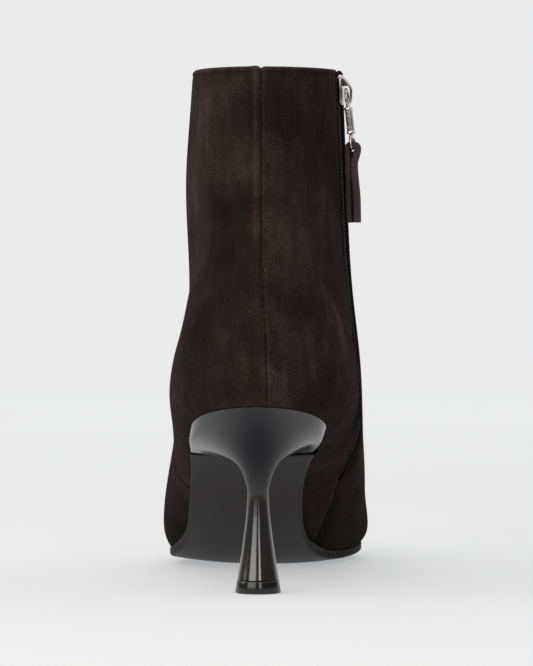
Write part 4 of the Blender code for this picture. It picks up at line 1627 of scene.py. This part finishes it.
@dataclass
class Heel:
    """Flared heel with a wide cup under the seat, and its tip."""

    last: Last
    rows: tuple[HeelRow, ...] = (
        HeelRow(4.0, 62.9, 48.0, 48.1, 24.8, 22.4, 0.72, 1.00, 0.84),
        HeelRow(6.0, 57.6, 45.5, 47.8, 21.6, 17.8, 0.84, 1.00, 0.70),
        HeelRow(8.8, 52.0, 39.0, 46.8, 14.8, 12.2, 0.90, 1.00, 0.64),
        HeelRow(11.8, 46.4, 32.6, 44.2, 8.2, 7.2, 0.80, 0.95, 0.66),
        HeelRow(14.4, 40.8, 28.4, 40.0, 5.1, 4.9, 0.62, 0.60, 0.40),
        HeelRow(15.7, 35.0, 26.6, 35.0, 3.85, 3.85),
        HeelRow(15.5, 28.0, 26.6, 28.0, 4.2, 4.2),
        HeelRow(14.7, 18.0, 27.3, 18.0, 5.35, 5.35),
        HeelRow(13.8, 10.0, 28.2, 10.0, 6.5, 6.5),
        HeelRow(13.0, 4.8, 29.0, 4.8, 7.4, 7.4),
    )
    middle_inner: float = 0.55
    side_steps: int = 36
    breast_steps: int = 16
    fine_rings: int = 84
    crisp: float = 38.0
    lift_height: float = 4.5
    lift_top: tuple[float, float] = (15.0, 16.2)
    lift_foot: tuple[float, float] = (16.2, 17.2)
    lift_centre_y: float = 21.0
    lift_round: float = 0.4
    lift_sides: int = 72
    lift_crisp: float = 40.0

    def close(self, outer: Numbers, inner: Numbers) -> Numbers:
        """Ring from the outer breast corner round the back to the inner one and across the breast.

        Args:
            outer: Outer side from back to breast.
            inner: Inner side from back to breast.

        Returns:
            Places of the ring, ending where it starts.
        """
        ring = np.concatenate([outer[::-1], inner[1:]])
        step = np.linspace(0.0, 1.0, self.breast_steps + 1)[1:, None]
        return np.concatenate([ring, ring[-1] + (ring[0] - ring[-1]) * step])

    def side(self, row: HeelRow, half: float, middle: float, opened: float) -> Numbers:
        """One side of a ring from back to breast.

        Args:
            row: The ring.
            half: Its widest place sideways, with its sign.
            middle: Where that is, as a share of the way.
            opened: Share of that width left at the breast.

        Returns:
            Places of the side.
        """
        share = rounded(self.side_steps)
        rear = np.sqrt(np.clip(1.0 - (1.0 - share / middle) ** 2, 0.0, 1.0))
        past = np.clip((share - middle) / (1.0 - middle), 0.0, 1.0)
        fore = np.sqrt(np.clip(1.0 - (1.0 - opened ** 2) * past * past, 0.0, None))
        x = half * np.where(share < middle, rear, fore)
        y = row.back_y + (row.front_y - row.back_y) * share
        return np.stack([x, y, row.back_z + (row.front_z - row.back_z) * share], axis=-1)

    def ring(self, row: HeelRow) -> Numbers:
        """Places of one ring.

        Args:
            row: The ring.

        Returns:
            Its places, ending where it starts.
        """
        outer = self.side(row, -row.half_outer, row.middle_outer, row.open_outer)
        return self.close(outer, self.side(row, row.half_inner, self.middle_inner, row.open_inner))

    def seat(self) -> Numbers:
        """Top ring, which follows the edge of the upper.

        Returns:
            Places of the ring, ending where it starts.
        """
        y = FOOT_BACK_Y + (BREAST_Y - FOOT_BACK_Y) * rounded(self.side_steps)
        sides = []
        for inner in (False, True):
            x = self.last.footprint(y, inner)
            sides.append(np.stack([x, y, self.last.sole_top(x, y) - GAP], axis=-1))
        return self.close(*sides)

    def build(self, lacquer: bpy.types.Material) -> bpy.types.Object:
        """Loft the rings smoothly and close both ends.

        Args:
            lacquer: Material of the heel.

        Returns:
            The heel.
        """
        seat = self.seat()
        rings = np.array([seat, *(self.ring(row) for row in self.rows)])
        hops = np.linalg.norm(np.diff(rings, axis=0), axis=-1).mean(axis=1)
        knots = np.concatenate([[0.0], np.cumsum(hops)])
        flat = steady_loft(knots, rings, np.linspace(0.0, knots[-1], self.fine_rings + 1))
        seat_middle, tip_middle = seat.copy(), flat[-1].copy()
        seat_middle[:, 0] = tip_middle[:, 0] = 0.0
        seat_middle[:, 2] = self.last.sole_top(seat_middle[:, 0], seat_middle[:, 1]) - GAP
        places = np.concatenate([seat_middle[None], flat, tip_middle[None]])
        bm = SHOP.sheet(places + np.asarray(self.last.shift), loop=True)
        SHOP.outward(bm)
        return SHOP.piece(
            bm, "heel_block", Body.BOOT, (lacquer,), ("heel",), self.crisp)

    def build_tip(self, rubber: bpy.types.Material) -> bpy.types.Object:
        """Turn the tip under the heel.

        Args:
            rubber: Material of the tip.

        Returns:
            The tip.
        """
        bm = bmesh.new()
        tall = self.lift_height
        bmesh.ops.create_cone(
            bm, cap_ends=True, segments=self.lift_sides, radius1=0.5, radius2=0.5, depth=tall)
        for vert in bm.verts:
            wide, deep = self.lift_top if vert.co.z > 0.0 else self.lift_foot
            x, y, z = vert.co
            vert.co = (x * wide, y * deep + self.lift_centre_y, z + tall / 2.0)
        SHOP.round_off(bm, SHOP.level_edges(bm, tall), self.lift_round, 3)
        bmesh.ops.translate(bm, vec=self.last.shift, verts=bm.verts[:])
        return SHOP.piece(
            bm, "heel_tip", Body.BOOT, (rubber,), ("heel_top_lift",), self.lift_crisp)


@dataclass
class Zip:
    """Tape, teeth and the stitching beside the slit."""

    last: Last
    tape_lap: float = 2.2
    tape_thick: float = 0.7
    tape_levels: tuple[float, float] = (1.1, 10.85)
    tape_grid: tuple[int, int] = (120, 16)
    tape_run: float = 12.0
    chain_levels: tuple[float, float] = (1.35, 10.85)
    chain_sink: float = 0.4
    chain_thick: float = 1.2
    tooth_pitch: float = 1.3
    tooth_size: Triple = (2.5, 0.86, 1.1)
    tooth_off: float = 0.62
    tooth_round: float = 0.24
    stitch_levels: tuple[float, float] = (1.7, 10.8)
    stitch_pitch: float = 3.0
    stitch_long: float = 2.3
    stitch_thick: float = 0.46
    stitch_off: float = 2.1
    stitch_sink: float = 0.12
    ladder_steps: int = 400
    level_probe: float = 0.1
    crisp: float = 60.0

    def run(self, levels: tuple[float, float], pitch: float) -> Numbers:
        """Levels at an even pitch along the zip.

        Args:
            levels: First and last level.
            pitch: Distance between them in millimetres.

        Returns:
            Levels from the lower end up.
        """
        ladder = np.linspace(*levels, self.ladder_steps)
        run = run_along(self.last.point(self.last.seam(Seam.ZIP, ladder), ladder))
        return np.interp(np.arange(0.0, run[-1], pitch), run, ladder)

    def frame_at(self, level: float, across: float, deep: float) -> Matrix:
        """Axes beside the zip: x across towards the toe, y up the zip, z outwards.

        Args:
            level: Level on the zip.
            across: Distance square to the zip.
            deep: Depth under the outside.

        Returns:
            The axes as a matrix in millimetres.
        """
        high = min(level + self.level_probe, TOP_LEVEL)
        levels = np.array([level, high, level - self.level_probe])
        turns = self.last.beside_zip(levels, np.full(len(levels), across))
        here, ahead, behind = (Vector(place) for place in self.last.point(turns, levels))
        outward = Vector(self.last.normal(turns[:1], levels[:1])[0])
        upward = ahead - behind
        upward = (upward - outward * upward.dot(outward)).normalized()
        made = Matrix((upward.cross(outward), upward, outward)).transposed().to_4x4()
        made.translation = here - outward * deep
        return made

    def build_tape(self, woven: bpy.types.Material) -> bpy.types.Object:
        """Lay the band behind the slit.

        Args:
            woven: Material of the tape.

        Returns:
            The tape.
        """
        rows, columns = self.tape_grid
        levels = np.repeat(np.linspace(*self.tape_levels, rows + 1), columns + 1)
        side = np.tile(np.linspace(-1.0, 1.0, columns + 1), rows + 1)
        across = side * (self.last.slit_half(levels) + self.tape_lap)
        turn = self.last.beside_zip(levels, across)
        outside, outward = self.last.point(turn, levels), self.last.normal(turn, levels)
        near, far = (
            (outside - outward * deep).reshape(rows + 1, columns + 1, 3)
            for deep in (WALL + GAP, WALL + GAP + self.tape_thick))
        bm = SHOP.sheet(near)
        SHOP.tag(bm, {"across": across, "seam_run": levels * self.tape_run})
        SHOP.thicken(bm, far)
        return SHOP.piece(
            bm, "zip_band", Body.BOOT, (woven,), ("zip_tape",), self.crisp)

    def build_teeth(self, nylon: bpy.types.Material) -> bpy.types.Object:
        """Set the closed row of teeth in the slit.

        Args:
            nylon: Material of the teeth.

        Returns:
            The teeth.
        """
        bm = bmesh.new()
        wide, long, tall = self.tooth_size
        deep = self.chain_sink + self.chain_thick / 2.0
        for number, level in enumerate(self.run(self.chain_levels, self.tooth_pitch / 2.0)):
            room = self.last.slit_at(level) / SLIT_HALF
            off = self.tooth_off * room * (1.0 if number % 2 else -1.0)
            size = Matrix.Diagonal((wide * room, long, tall, 1.0))
            bmesh.ops.create_cube(bm, size=1.0, matrix=self.frame_at(level, off, deep) @ size)
        SHOP.round_off(bm, bm.edges[:], self.tooth_round, 2)
        return SHOP.piece(
            bm, "zip_teeth", Body.BOOT, (nylon,), ("zip_chain",), self.crisp)

    def build_stitches(self, thread: bpy.types.Material) -> bpy.types.Object:
        """Sew a line beside each edge of the slit.

        Args:
            thread: Material of the thread.

        Returns:
            The stitches.
        """
        bm = bmesh.new()
        thick = self.stitch_thick / 2.0
        size = Matrix.Diagonal((thick, self.stitch_long / 2.0, thick, 1.0))
        for side in (-1.0, 1.0):
            for level in self.run(self.stitch_levels, self.stitch_pitch):
                off = side * (self.last.slit_at(level) + self.stitch_off)
                place = self.frame_at(level, off, self.stitch_sink)
                bmesh.ops.create_icosphere(bm, subdivisions=2, radius=1.0, matrix=place @ size)
        return SHOP.piece(bm, "zip_stitches", Body.BOOT, (thread,))


@dataclass(frozen=True)
class Hoop:
    """Closed hoop of wire in the link's plane, in millimetres at the wire's middle.

    Flat is the share to which the wire is flattened, and square the power of the corners, 1 for an
    oval and less for a frame.
    """

    centre: float
    half_wide: float
    half_long: float
    bar: float
    flat: float
    square: float


@dataclass
class Pull:
    """Slider at the collar, with the link and the folded tab that hang from it."""

    last: Last
    slider_level: float = 10.62
    slider_wide: float = 7.6
    slider_narrow: float = 5.8
    slider_long: float = 10.6
    slider_thick: float = 1.3
    slider_base: float = -0.1
    slider_corner: float = 1.5
    slider_round: float = 0.38
    bridge_wide: float = 2.6
    bridge_bar: float = 1.0
    bridge_from: float = -4.5
    bridge_to: float = 4.75
    bridge_crown: float = 3.42
    bridge_sink: float = 0.5
    bridge_steep: float = 1.75
    bridge_bend: float = 0.8
    bridge_droop: float = 0.12
    droop_from: float = 0.7
    taper_from: float = 0.35
    taper_long: float = 0.66
    tip_wide: float = 0.35
    tip_thick: float = 0.30
    bridge_grid: tuple[int, int] = (32, 16)
    web: tuple[float, float, float, float] = (-4.2, -1.35, 0.15, 2.1)
    web_low: float = -0.3
    web_wide: float = 2.2
    pivot_rise: float = 1.15
    link_lean: float = 6.5
    link_thick: float = 1.1
    eye: Hoop = Hoop(3.0, 2.25, 3.1, bar=0.68, flat=0.8, square=1.0)
    loop: Hoop = Hoop(18.95, 3.28, 2.05, bar=0.58, flat=0.92, square=0.45)
    wire_sides: int = 14
    hoop_steps: int = 56
    spin_radius: float = 4.0
    stem: Triple = (6.0, 16.6, 1.5)
    stem_round: float = 0.35
    grip: Triple = (7.2, 14.8, 1.9)
    grip_thick: float = 2.2
    grip_round: float = 0.45
    collar_long: float = 1.3
    collar_off: float = 0.4
    collar_proud: float = 0.3
    collar_round: float = 0.4
    crisp: float = 40.0
    tab_bar: float = 21.0
    tab_lean: float = 1.0
    tab_loop: float = 1.72
    tab_sweep: tuple[float, float] = (0.42, 1.60)
    tab_thick: float = 1.7
    tab_long: float = 26.3
    tab_near: float = -1.55
    tab_neck: float = 0.45
    tab_foot: float = 1.25
    tab_wide: float = 5.4
    tab_round: float = 0.22
    tab_crisp: float = 50.0
    tab_grid: tuple[int, int, int] = (32, 40, 8)
    tab_settle: float = 0.2
    tab_kick: float = 0.25
    flare_from: float = 0.22
    flare_long: float = 0.5
    core_from: float = 1.0
    core_short: float = 0.12
    core_narrow: float = 0.7
    core_flare_from: float = 0.2
    core_cuts: int = 11
    # Painted light on the outer layer of the tab and painted shade on the inner one
    tab_light_and_shade: tuple[float, float] = (0.10, -0.10)

    def slider_axes(self) -> Matrix:
        """Axes at the slider: x towards the heel, y down the zip, z outwards.

        Returns:
            The axes as a matrix in millimetres.
        """
        level = np.array([self.slider_level])
        turn = self.last.seam(Seam.ZIP, level)
        outward = Vector(self.last.normal(turn, level)[0])
        outward.z = 0.0
        outward.normalize()
        down = Vector((0.0, 0.0, -1.0))
        made = Matrix((down.cross(outward), down, outward)).transposed().to_4x4()
        made.translation = Vector(self.last.point(turn, level)[0])
        return made

    def link_axes(self) -> Matrix:
        """Axes of the hanging link, from its hinge down.

        Returns:
            The axes as a matrix in millimetres.
        """
        rise = self.slider_base + self.slider_thick + self.pivot_rise
        lean = Matrix.Rotation(math.radians(self.link_lean), 4, "X")
        return self.slider_axes() @ Matrix.Translation((0.0, 0.0, rise)) @ lean

    def tab_axes(self) -> Matrix:
        """Axes of the tab, at the bar that it is folded round."""
        lean = Matrix.Rotation(math.radians(self.tab_lean - self.link_lean), 4, "X")
        return self.link_axes() @ Matrix.Translation((0.0, self.tab_bar, 0.0)) @ lean

    def block(
        self, bm: bmesh.types.BMesh, size: Sequence[float], along: float, round_off: float,
    ) -> None:
        """Add a rounded block on the link's middle line.

        Args:
            bm: Form to add it to.
            size: Its width, length and height.
            along: Its middle along the link.
            round_off: Radius of its edges.
        """
        stretch = Matrix.Translation((0.0, along, 0.0)) @ Matrix.Diagonal((*size, 1.0))
        made = bmesh.ops.create_cube(bm, size=1.0, matrix=stretch)["verts"]
        edges = dict.fromkeys(edge for vert in made for edge in vert.link_edges)
        SHOP.round_off(bm, list(edges), round_off, 3)

    def hoop(self, bm: bmesh.types.BMesh, shape: Hoop) -> None:
        """Add a hoop of wire.

        Args:
            bm: Form to add it to.
            shape: The hoop.
        """
        stand = Matrix.Translation((self.spin_radius, 0.0, 0.0))
        stand = stand @ Matrix.Rotation(math.pi / 2.0, 4, "X")
        ring = bmesh.ops.create_circle(
            bm, segments=self.wire_sides, radius=shape.bar, matrix=stand)["verts"]
        before = set(bm.verts) - set(ring)
        edges = dict.fromkeys(edge for vert in ring for edge in vert.link_edges)
        bmesh.ops.spin(
            bm, geom=ring + list(edges), cent=(0.0, 0.0, 0.0), axis=(0.0, 0.0, 1.0),
            angle=FULL_TURN, steps=self.hoop_steps, use_merge=True)
        for vert in (vert for vert in bm.verts if vert not in before):
            angle = math.atan2(vert.co.y, vert.co.x)
            off = math.hypot(vert.co.x, vert.co.y) - self.spin_radius
            turn = Vector((math.cos(angle), math.sin(angle), 0.0))
            x, y = (math.copysign(abs(part) ** shape.square, part) for part in turn[:2])
            bent = Vector((shape.half_wide * x, shape.half_long * y, vert.co.z * shape.flat))
            vert.co = bent + Vector((0.0, shape.centre, 0.0)) + turn * off

    def bridge(self, face: float) -> bmesh.types.BMesh:
        """Hooked bridge that rises from the slider's upper end and tapers over the link's eye.

        Args:
            face: Height of the slider's outer face.

        Returns:
            The bridge in the slider's axes.
        """
        steps, sides = self.bridge_grid
        along = np.linspace(0.0, 1.0, steps + 1)
        around = np.linspace(0.0, FULL_TURN, sides + 1)
        y = self.bridge_from + (self.bridge_to - self.bridge_from) * along
        arc = np.sin(np.minimum(along * self.bridge_steep, 1.0) * math.pi / 2.0)
        z = face - self.bridge_sink + self.bridge_crown * arc ** self.bridge_bend
        z -= self.bridge_droop * ease((along - self.droop_from) / (1.0 - self.droop_from))
        slope = np.stack([np.gradient(y), np.gradient(z)], axis=-1)
        slope /= np.linalg.norm(slope, axis=-1, keepdims=True)
        past = np.clip((along - self.taper_from) / self.taper_long, 0.0, 1.0)
        taper = np.sqrt(1.0 - past * past)
        wide = self.bridge_wide / 2.0 * (self.tip_wide + (1.0 - self.tip_wide) * taper)
        thick = self.bridge_bar / 2.0 * (self.tip_thick + (1.0 - self.tip_thick) * taper)
        lift = thick[:, None] * np.sin(around)[None, :]
        places = np.stack([
            wide[:, None] * np.cos(around)[None, :],
            y[:, None] - slope[:, 1:] * lift,
            z[:, None] + slope[:, :1] * lift,
        ], axis=-1)
        bm = SHOP.sheet(places, loop=True)
        rims = [edge for edge in bm.edges if edge.is_boundary]
        bmesh.ops.holes_fill(bm, edges=rims, sides=0)
        SHOP.outward(bm)
        return bm

    def build_slider(
        self, nickel: bpy.types.Material, shaded: bpy.types.Material,
    ) -> bpy.types.Object:
        """Shape the slider's plate, its bridge and the web under that, dark as painted shade.

        Args:
            nickel: Material of the slider.
            shaded: Material of the web.

        Returns:
            The slider.
        """
        bm = bmesh.new()
        thick = self.slider_thick
        face = self.slider_base + thick
        bmesh.ops.create_cube(bm, size=1.0)
        for vert in bm.verts:
            wide = self.slider_wide if vert.co.y < 0.0 else self.slider_narrow
            height = self.slider_base + thick * (vert.co.z + 0.5)
            vert.co = (vert.co.x * wide, vert.co.y * self.slider_long, height)
        SHOP.round_off(bm, SHOP.level_edges(bm, thick, upright=True), self.slider_corner, 5)
        SHOP.round_off(bm, SHOP.level_edges(bm, thick), self.slider_round, 3)
        plate = set(bm.faces)
        web = bmesh.ops.create_cube(bm, size=1.0)["verts"]
        start, end, low, high = self.web
        for vert in web:
            upper_end = vert.co.y < 0.0
            rise = self.web_low if vert.co.z < 0.0 else (low if upper_end else high)
            vert.co = (vert.co.x * self.web_wide, start if upper_end else end, face + rise)
        for item in bm.faces:
            item.material_index = 0 if item in plate else 1
        bow = self.bridge(face)
        loose = bpy.data.meshes.new("bridge")
        bow.to_mesh(loose)
        bow.free()
        bm.from_mesh(loose)
        bpy.data.meshes.remove(loose)
        bmesh.ops.transform(bm, matrix=self.slider_axes(), verts=bm.verts[:])
        return SHOP.piece(
            bm, "zip_slider_body", Body.BOOT, (nickel, shaded), ("zip_slider",),
            self.crisp)

    def build_link(
        self, nickel: bpy.types.Material, grip: bpy.types.Material,
    ) -> bpy.types.Object:
        """Shape the link: an oval eye, a stem with its grip, and a frame at its end.

        Args:
            nickel: Material of the link.
            grip: Material of the thick grip.

        Returns:
            The link.
        """
        bm = bmesh.new()
        for shape in (self.eye, self.loop):
            self.hoop(bm, shape)
        start, end, half = self.stem
        size = (2.0 * half, end - start, self.link_thick)
        self.block(bm, size, (start + end) / 2.0, self.stem_round)
        start, end, half = self.grip
        proud = self.collar_proud
        for collar in (start - self.collar_off, end + self.collar_off):
            size = (2.0 * half + proud, self.collar_long, self.grip_thick + proud)
            self.block(bm, size, collar, self.collar_round)
        plain = set(bm.faces)
        size = (2.0 * half, end - start, self.grip_thick)
        self.block(bm, size, (start + end) / 2.0, self.grip_round)
        for item in bm.faces:
            item.material_index = 0 if item in plain else 1
        bmesh.ops.transform(bm, matrix=self.link_axes(), verts=bm.verts[:])
        return SHOP.piece(
            bm, "pull_link", Body.PULL, (nickel, grip), ("zip_pull",), self.crisp)

    def flare(self, fall: Numbers, start: float) -> Numbers:
        """Height of the outer layer down the tab.

        Args:
            fall: Shares of the way down.
            start: Share where the layer starts to stand off.

        Returns:
            Heights over the bar.
        """
        share = ease((fall - start) / self.flare_long)
        return self.tab_neck + (self.tab_foot - self.tab_neck) * share

    def tab_line(self) -> Numbers:
        """Side line of the folded strip: up the outer layer, round the bar and down the inner one.

        Returns:
            Rows of y and z in the tab's axes.
        """
        loop_steps, fall_steps, _ = self.tab_grid
        first, last = self.tab_sweep
        sweep = np.linspace(first * math.pi, last * math.pi, loop_steps + 1)
        loop = self.tab_loop * np.stack([np.cos(sweep), np.sin(sweep)], axis=-1)
        fall = np.linspace(0.0, 1.0, fall_steps + 1)[1:]
        near_loop = 1.0 - ease(fall / self.tab_settle)
        outer = self.flare(fall, self.flare_from)
        inner = np.full(len(fall), self.tab_near)
        kick = self.tab_kick * ease((fall - 0.5) / 0.5)
        layers = []
        for (y, z), rest, extra in ((loop[0], outer, 0.0), (loop[-1], inner, kick)):
            height = rest + (z - rest) * near_loop + extra
            layers.append(np.stack([y + (self.tab_long - y) * fall, height], axis=-1))
        return np.concatenate([layers[0][::-1], loop, layers[1]])

    def build_core(self, suede: bpy.types.Material) -> bpy.types.Object:
        """Fill the fold between the two layers, set back from their edges, in a dark material that
        is painted shade in the fold.

        Args:
            suede: Material of the filling, dark as painted shade.

        Returns:
            The filling.
        """
        bm = bmesh.new()
        bmesh.ops.create_cube(bm, size=1.0)
        bmesh.ops.subdivide_edges(bm, edges=bm.edges[:], cuts=self.core_cuts, use_grid_fill=True)
        reach = self.tab_long - self.core_short - self.core_from
        for vert in bm.verts:
            fall = vert.co.y + 0.5
            far = float(self.flare(np.array(fall), self.core_flare_from))
            height = (far + self.tab_near) / 2.0 + (far - self.tab_near) * vert.co.z
            across = vert.co.x * (self.tab_wide - self.core_narrow)
            vert.co = (across, self.core_from + reach * fall, height)
        bmesh.ops.transform(bm, matrix=self.tab_axes(), verts=bm.verts[:])
        return SHOP.piece(bm, "pull_tab_shaded_core", Body.PULL, (suede,), (), self.tab_crisp)

    def build_tab(self, suede: bpy.types.Material, fold: bpy.types.Material) -> bpy.types.Object:
        """Fold the suede strip through the link's frame.

        Args:
            suede: Material of the tab.
            fold: Material inside the fold, dark as painted shade.

        Returns:
            The tab.
        """
        self.build_core(fold)
        line = self.tab_line()
        columns = self.tab_grid[2] + 1
        places = np.zeros((len(line), columns, 3))
        places[:, :, 0] = np.linspace(-0.5, 0.5, columns) * self.tab_wide
        places[:, :, 1:] = line[:, None, :]
        bm = SHOP.sheet(places)
        # Painted light and shade: the outer layer lighter, the inner layer darker
        outer_light, inner_shade = self.tab_light_and_shade
        tone = outer_light + (inner_shade - outer_light) * ease(np.linspace(-0.5, 1.5, len(line)))
        SHOP.tag(bm, {"nap_light_shade": np.repeat(tone, columns)})
        bmesh.ops.transform(bm, matrix=self.tab_axes(), verts=bm.verts[:])
        made = SHOP.piece(bm, "pull_tab", Body.PULL, (suede,), ("zip_pull_tab",))
        strip = made.modifiers.new("strip", "SOLIDIFY")
        strip.thickness = self.tab_thick * MM
        strip.offset = 0.0
        edge = made.modifiers.new("edge", "BEVEL")
        edge.width = self.tab_round * MM
        edge.segments = 2
        edge.limit_method = "ANGLE"
        edge.angle_limit = math.radians(self.tab_crisp)
        return made


@dataclass(frozen=True)
class Lamp:
    """Soft rectangular light, in metres and watts."""

    name: str
    at: Triple
    size: tuple[float, float]
    power: float
    tint: Colour
    target: Triple = (0.0, -0.05, 0.09)


@dataclass
class Studio:
    """Pale floor, plain surround, soft lights and the camera."""

    last: Last
    camera_at: Triple = (40.7, -1487.0, 126.6)
    aim: Triple = (2.5, 40.0, 91.0)
    lens_mm: float = 232.0
    sensor_mm: float = 36.0
    clip_end: float = 50.0
    floor_half: float = 3.2
    floor_cells: int = 8
    backdrop: float = 0.83
    overhead: float = 1.05
    behind_camera: float = 0.08
    beside: float = 0.12
    ahead_ramp: tuple[float, float] = (2.5, 1.1)
    beside_ramp: tuple[float, float] = (2.0, 0.8)
    overhead_ramp: tuple[float, float] = (2.2, 0.5)
    lamps: tuple[Lamp, ...] = (
        Lamp("left_softbox", (-0.96, -1.46, 0.62), (1.45, 1.15), 16.5, (1.0, 0.94, 0.87)),
        Lamp("right_strip", (0.40, -1.62, 0.60), (0.34, 1.1), 5.4, (1.0, 0.94, 0.87)),
        Lamp("left_rim", (-1.35, 0.05, 0.75), (0.8, 1.1), 6.8, (1.0, 0.98, 0.96)),
        Lamp("top_light", (0.1, 0.1, 1.9), (1.6, 1.6), 4.0, (1.0, 1.0, 1.0), (0.0, 0.0, 0.0)),
    )

    def build_floor(self) -> None:
        """Lay the floor."""
        bm = bmesh.new()
        cells = self.floor_cells
        bmesh.ops.create_grid(bm, x_segments=cells, y_segments=cells, size=self.floor_half)
        mesh = bpy.data.meshes.new("studio_floor")
        bm.to_mesh(mesh)
        bm.free()
        mesh.materials.append(FloorFinish().make())
        SHOP.add("studio_floor", mesh)

    def build_surround(self) -> None:
        """Set a surround that is bright ahead and overhead, and plain where the camera sees it."""
        world = bpy.data.worlds.new("pale_surround")
        bpy.context.scene.world = world
        graph = Graph(world, "Background")
        side, ahead, up = graph.split(graph.node("ShaderNodeTexCoord", {}, {}, "Generated"))
        in_front = ahead.ramp(*self.ahead_ramp)
        level = self.behind_camera + (self.backdrop - self.behind_camera) * in_front
        sideways = abs(side).ramp(*self.beside_ramp) * (0.5 - ahead).clip()
        level = level + (self.beside - level) * sideways
        level = level + (self.overhead - level) * up.ramp(*self.overhead_ramp)
        seen = graph.node("ShaderNodeLightPath", {}, {}, "Is Camera Ray")
        graph.feed("Strength", level + (self.backdrop - level) * seen)
        graph.feed("Color", (1.0, 1.0, 1.0))

    def aim_at(self, made: bpy.types.Object, at: Sequence[float], target: Sequence[float]) -> None:
        """Set a light or the camera at a place and turn it to a target.

        Args:
            made: The light or the camera.
            at: Its place in metres.
            target: Point that it faces.
        """
        way = Vector(target) - Vector(at)
        made.location = at
        made.rotation_euler = way.to_track_quat("-Z", "Y").to_euler()

    def build_lights(self) -> None:
        """Hang the soft lights."""
        for lamp in self.lamps:
            data = bpy.data.lights.new(lamp.name, "AREA")
            data.shape = "RECTANGLE"
            data.size, data.size_y = lamp.size
            data.energy = lamp.power
            data.color = lamp.tint
            self.aim_at(SHOP.add(lamp.name, data), lamp.at, lamp.target)

    def build_camera(self) -> None:
        """Set the camera behind the heel, as in the photograph."""
        shift = Vector(self.last.shift)
        at, aim = ((Vector(place) + shift) * MM for place in (self.camera_at, self.aim))
        data = bpy.data.cameras.new("behind_heel")
        data.sensor_width = self.sensor_mm
        data.lens = self.lens_mm
        data.clip_end = self.clip_end
        made = SHOP.add("behind_heel", data)
        self.aim_at(made, at, aim)
        bpy.context.scene.camera = made
        bpy.context.scene.view_settings.view_transform = "Standard"


def boot_last() -> Last:
    """Find the last's place in the frame from the tip under the heel.

    Returns:
        The last.
    """
    low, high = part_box("heel_top_lift")
    middle = (low + high) / 2.0 / MM
    return Last((middle.x, middle.y - Heel.lift_centre_y, 0.0))


def main() -> None:
    """Build every piece in order."""
    logging.basicConfig(level=logging.INFO, format="%(name)s: %(message)s")
    last = boot_last()
    suede = SuedeFinish().make()
    tab_suede = SuedeFinish(
        "tab_suede", middle=(0.0200, 0.0150, 0.0140), light=(0.058, 0.0455, 0.0420), tone=0.88,
        seams=False).make()
    thread = SuedeFinish("dark_thread_and_fold_shade", tone=0.22, seams=False, nap_light_shade_patched=False).make()
    lining = LiningFinish().make()
    # The heel's coat is thinned in the middle of the cup as painted shade, and its base is painted
    # cooler up the cup to match a cool reflection
    lacquer = LacquerFinish(
        "heel_lacquer", (0.0085, 0.0072, 0.0066), (0.013, 0.0110, 0.0102), roughness=0.15,
        coat_ior=1.8, dimmed_reflection=0.84, cool=(0.0086, 0.0089, 0.0108)).make()
    # The sole is painted black as shade in the gap at the heel breast and on its rim
    sole_gloss = LacquerFinish(
        "sole_gloss", (0.0125, 0.0106, 0.0102), (0.0185, 0.0160, 0.0155), roughness=0.2,
        gloss=0.34, painted_shade=0.95, rim=0.55).make()
    rubber = MouldedFinish(
        "black_tip", dark=(0.0040, 0.0041, 0.0046), light=(0.0110, 0.0112, 0.0120),
        roughness=0.14, spread=0.12, specular=0.5, grain=(2200.0, 3.0, 0.6), grain_deep=0.02,
        scuff_scale=(500.0, 500.0, 2400.0)).make()
    nylon = MouldedFinish(
        "black_teeth", dark=(0.0022, 0.0022, 0.0025), light=(0.0060, 0.0060, 0.0066),
        roughness=0.55, spread=0.2, specular=0.04, grain=(1900.0, 2.0, 0.5),
        grain_deep=0.03).make()
    nickel = NickelFinish().make()
    grey_grip = NickelFinish(
        "grey_grip", (0.30, 0.30, 0.295), (0.06, 0.06, 0.06), 0.26, pit_scale=1300.0,
        pit_deep=0.42).make()
    shaded_nickel = NickelFinish(
        "shaded_nickel", (0.055, 0.050, 0.046), (0.02, 0.018, 0.017), 0.3).make()
    Upper(last).build(suede, lining)
    Outsole(last).build(sole_gloss)
    Footbed(last).build(lining)
    heel = Heel(last)
    heel.build(lacquer)
    heel.build_tip(rubber)
    zipper = Zip(last)
    zipper.build_tape(TapeFinish().make())
    zipper.build_teeth(nylon)
    zipper.build_stitches(thread)
    pull = Pull(last)
    pull.build_slider(nickel, shaded_nickel)
    pull.build_link(nickel, grey_grip)
    # The tab's core takes the dark thread's material as painted shade in the fold
    pull.build_tab(tab_suede, thread)
    studio = Studio(last)
    studio.build_floor()
    studio.build_surround()
    studio.build_lights()
    studio.build_camera()
    bpy.context.view_layer.update()


if __name__ == "__main__":
    main()
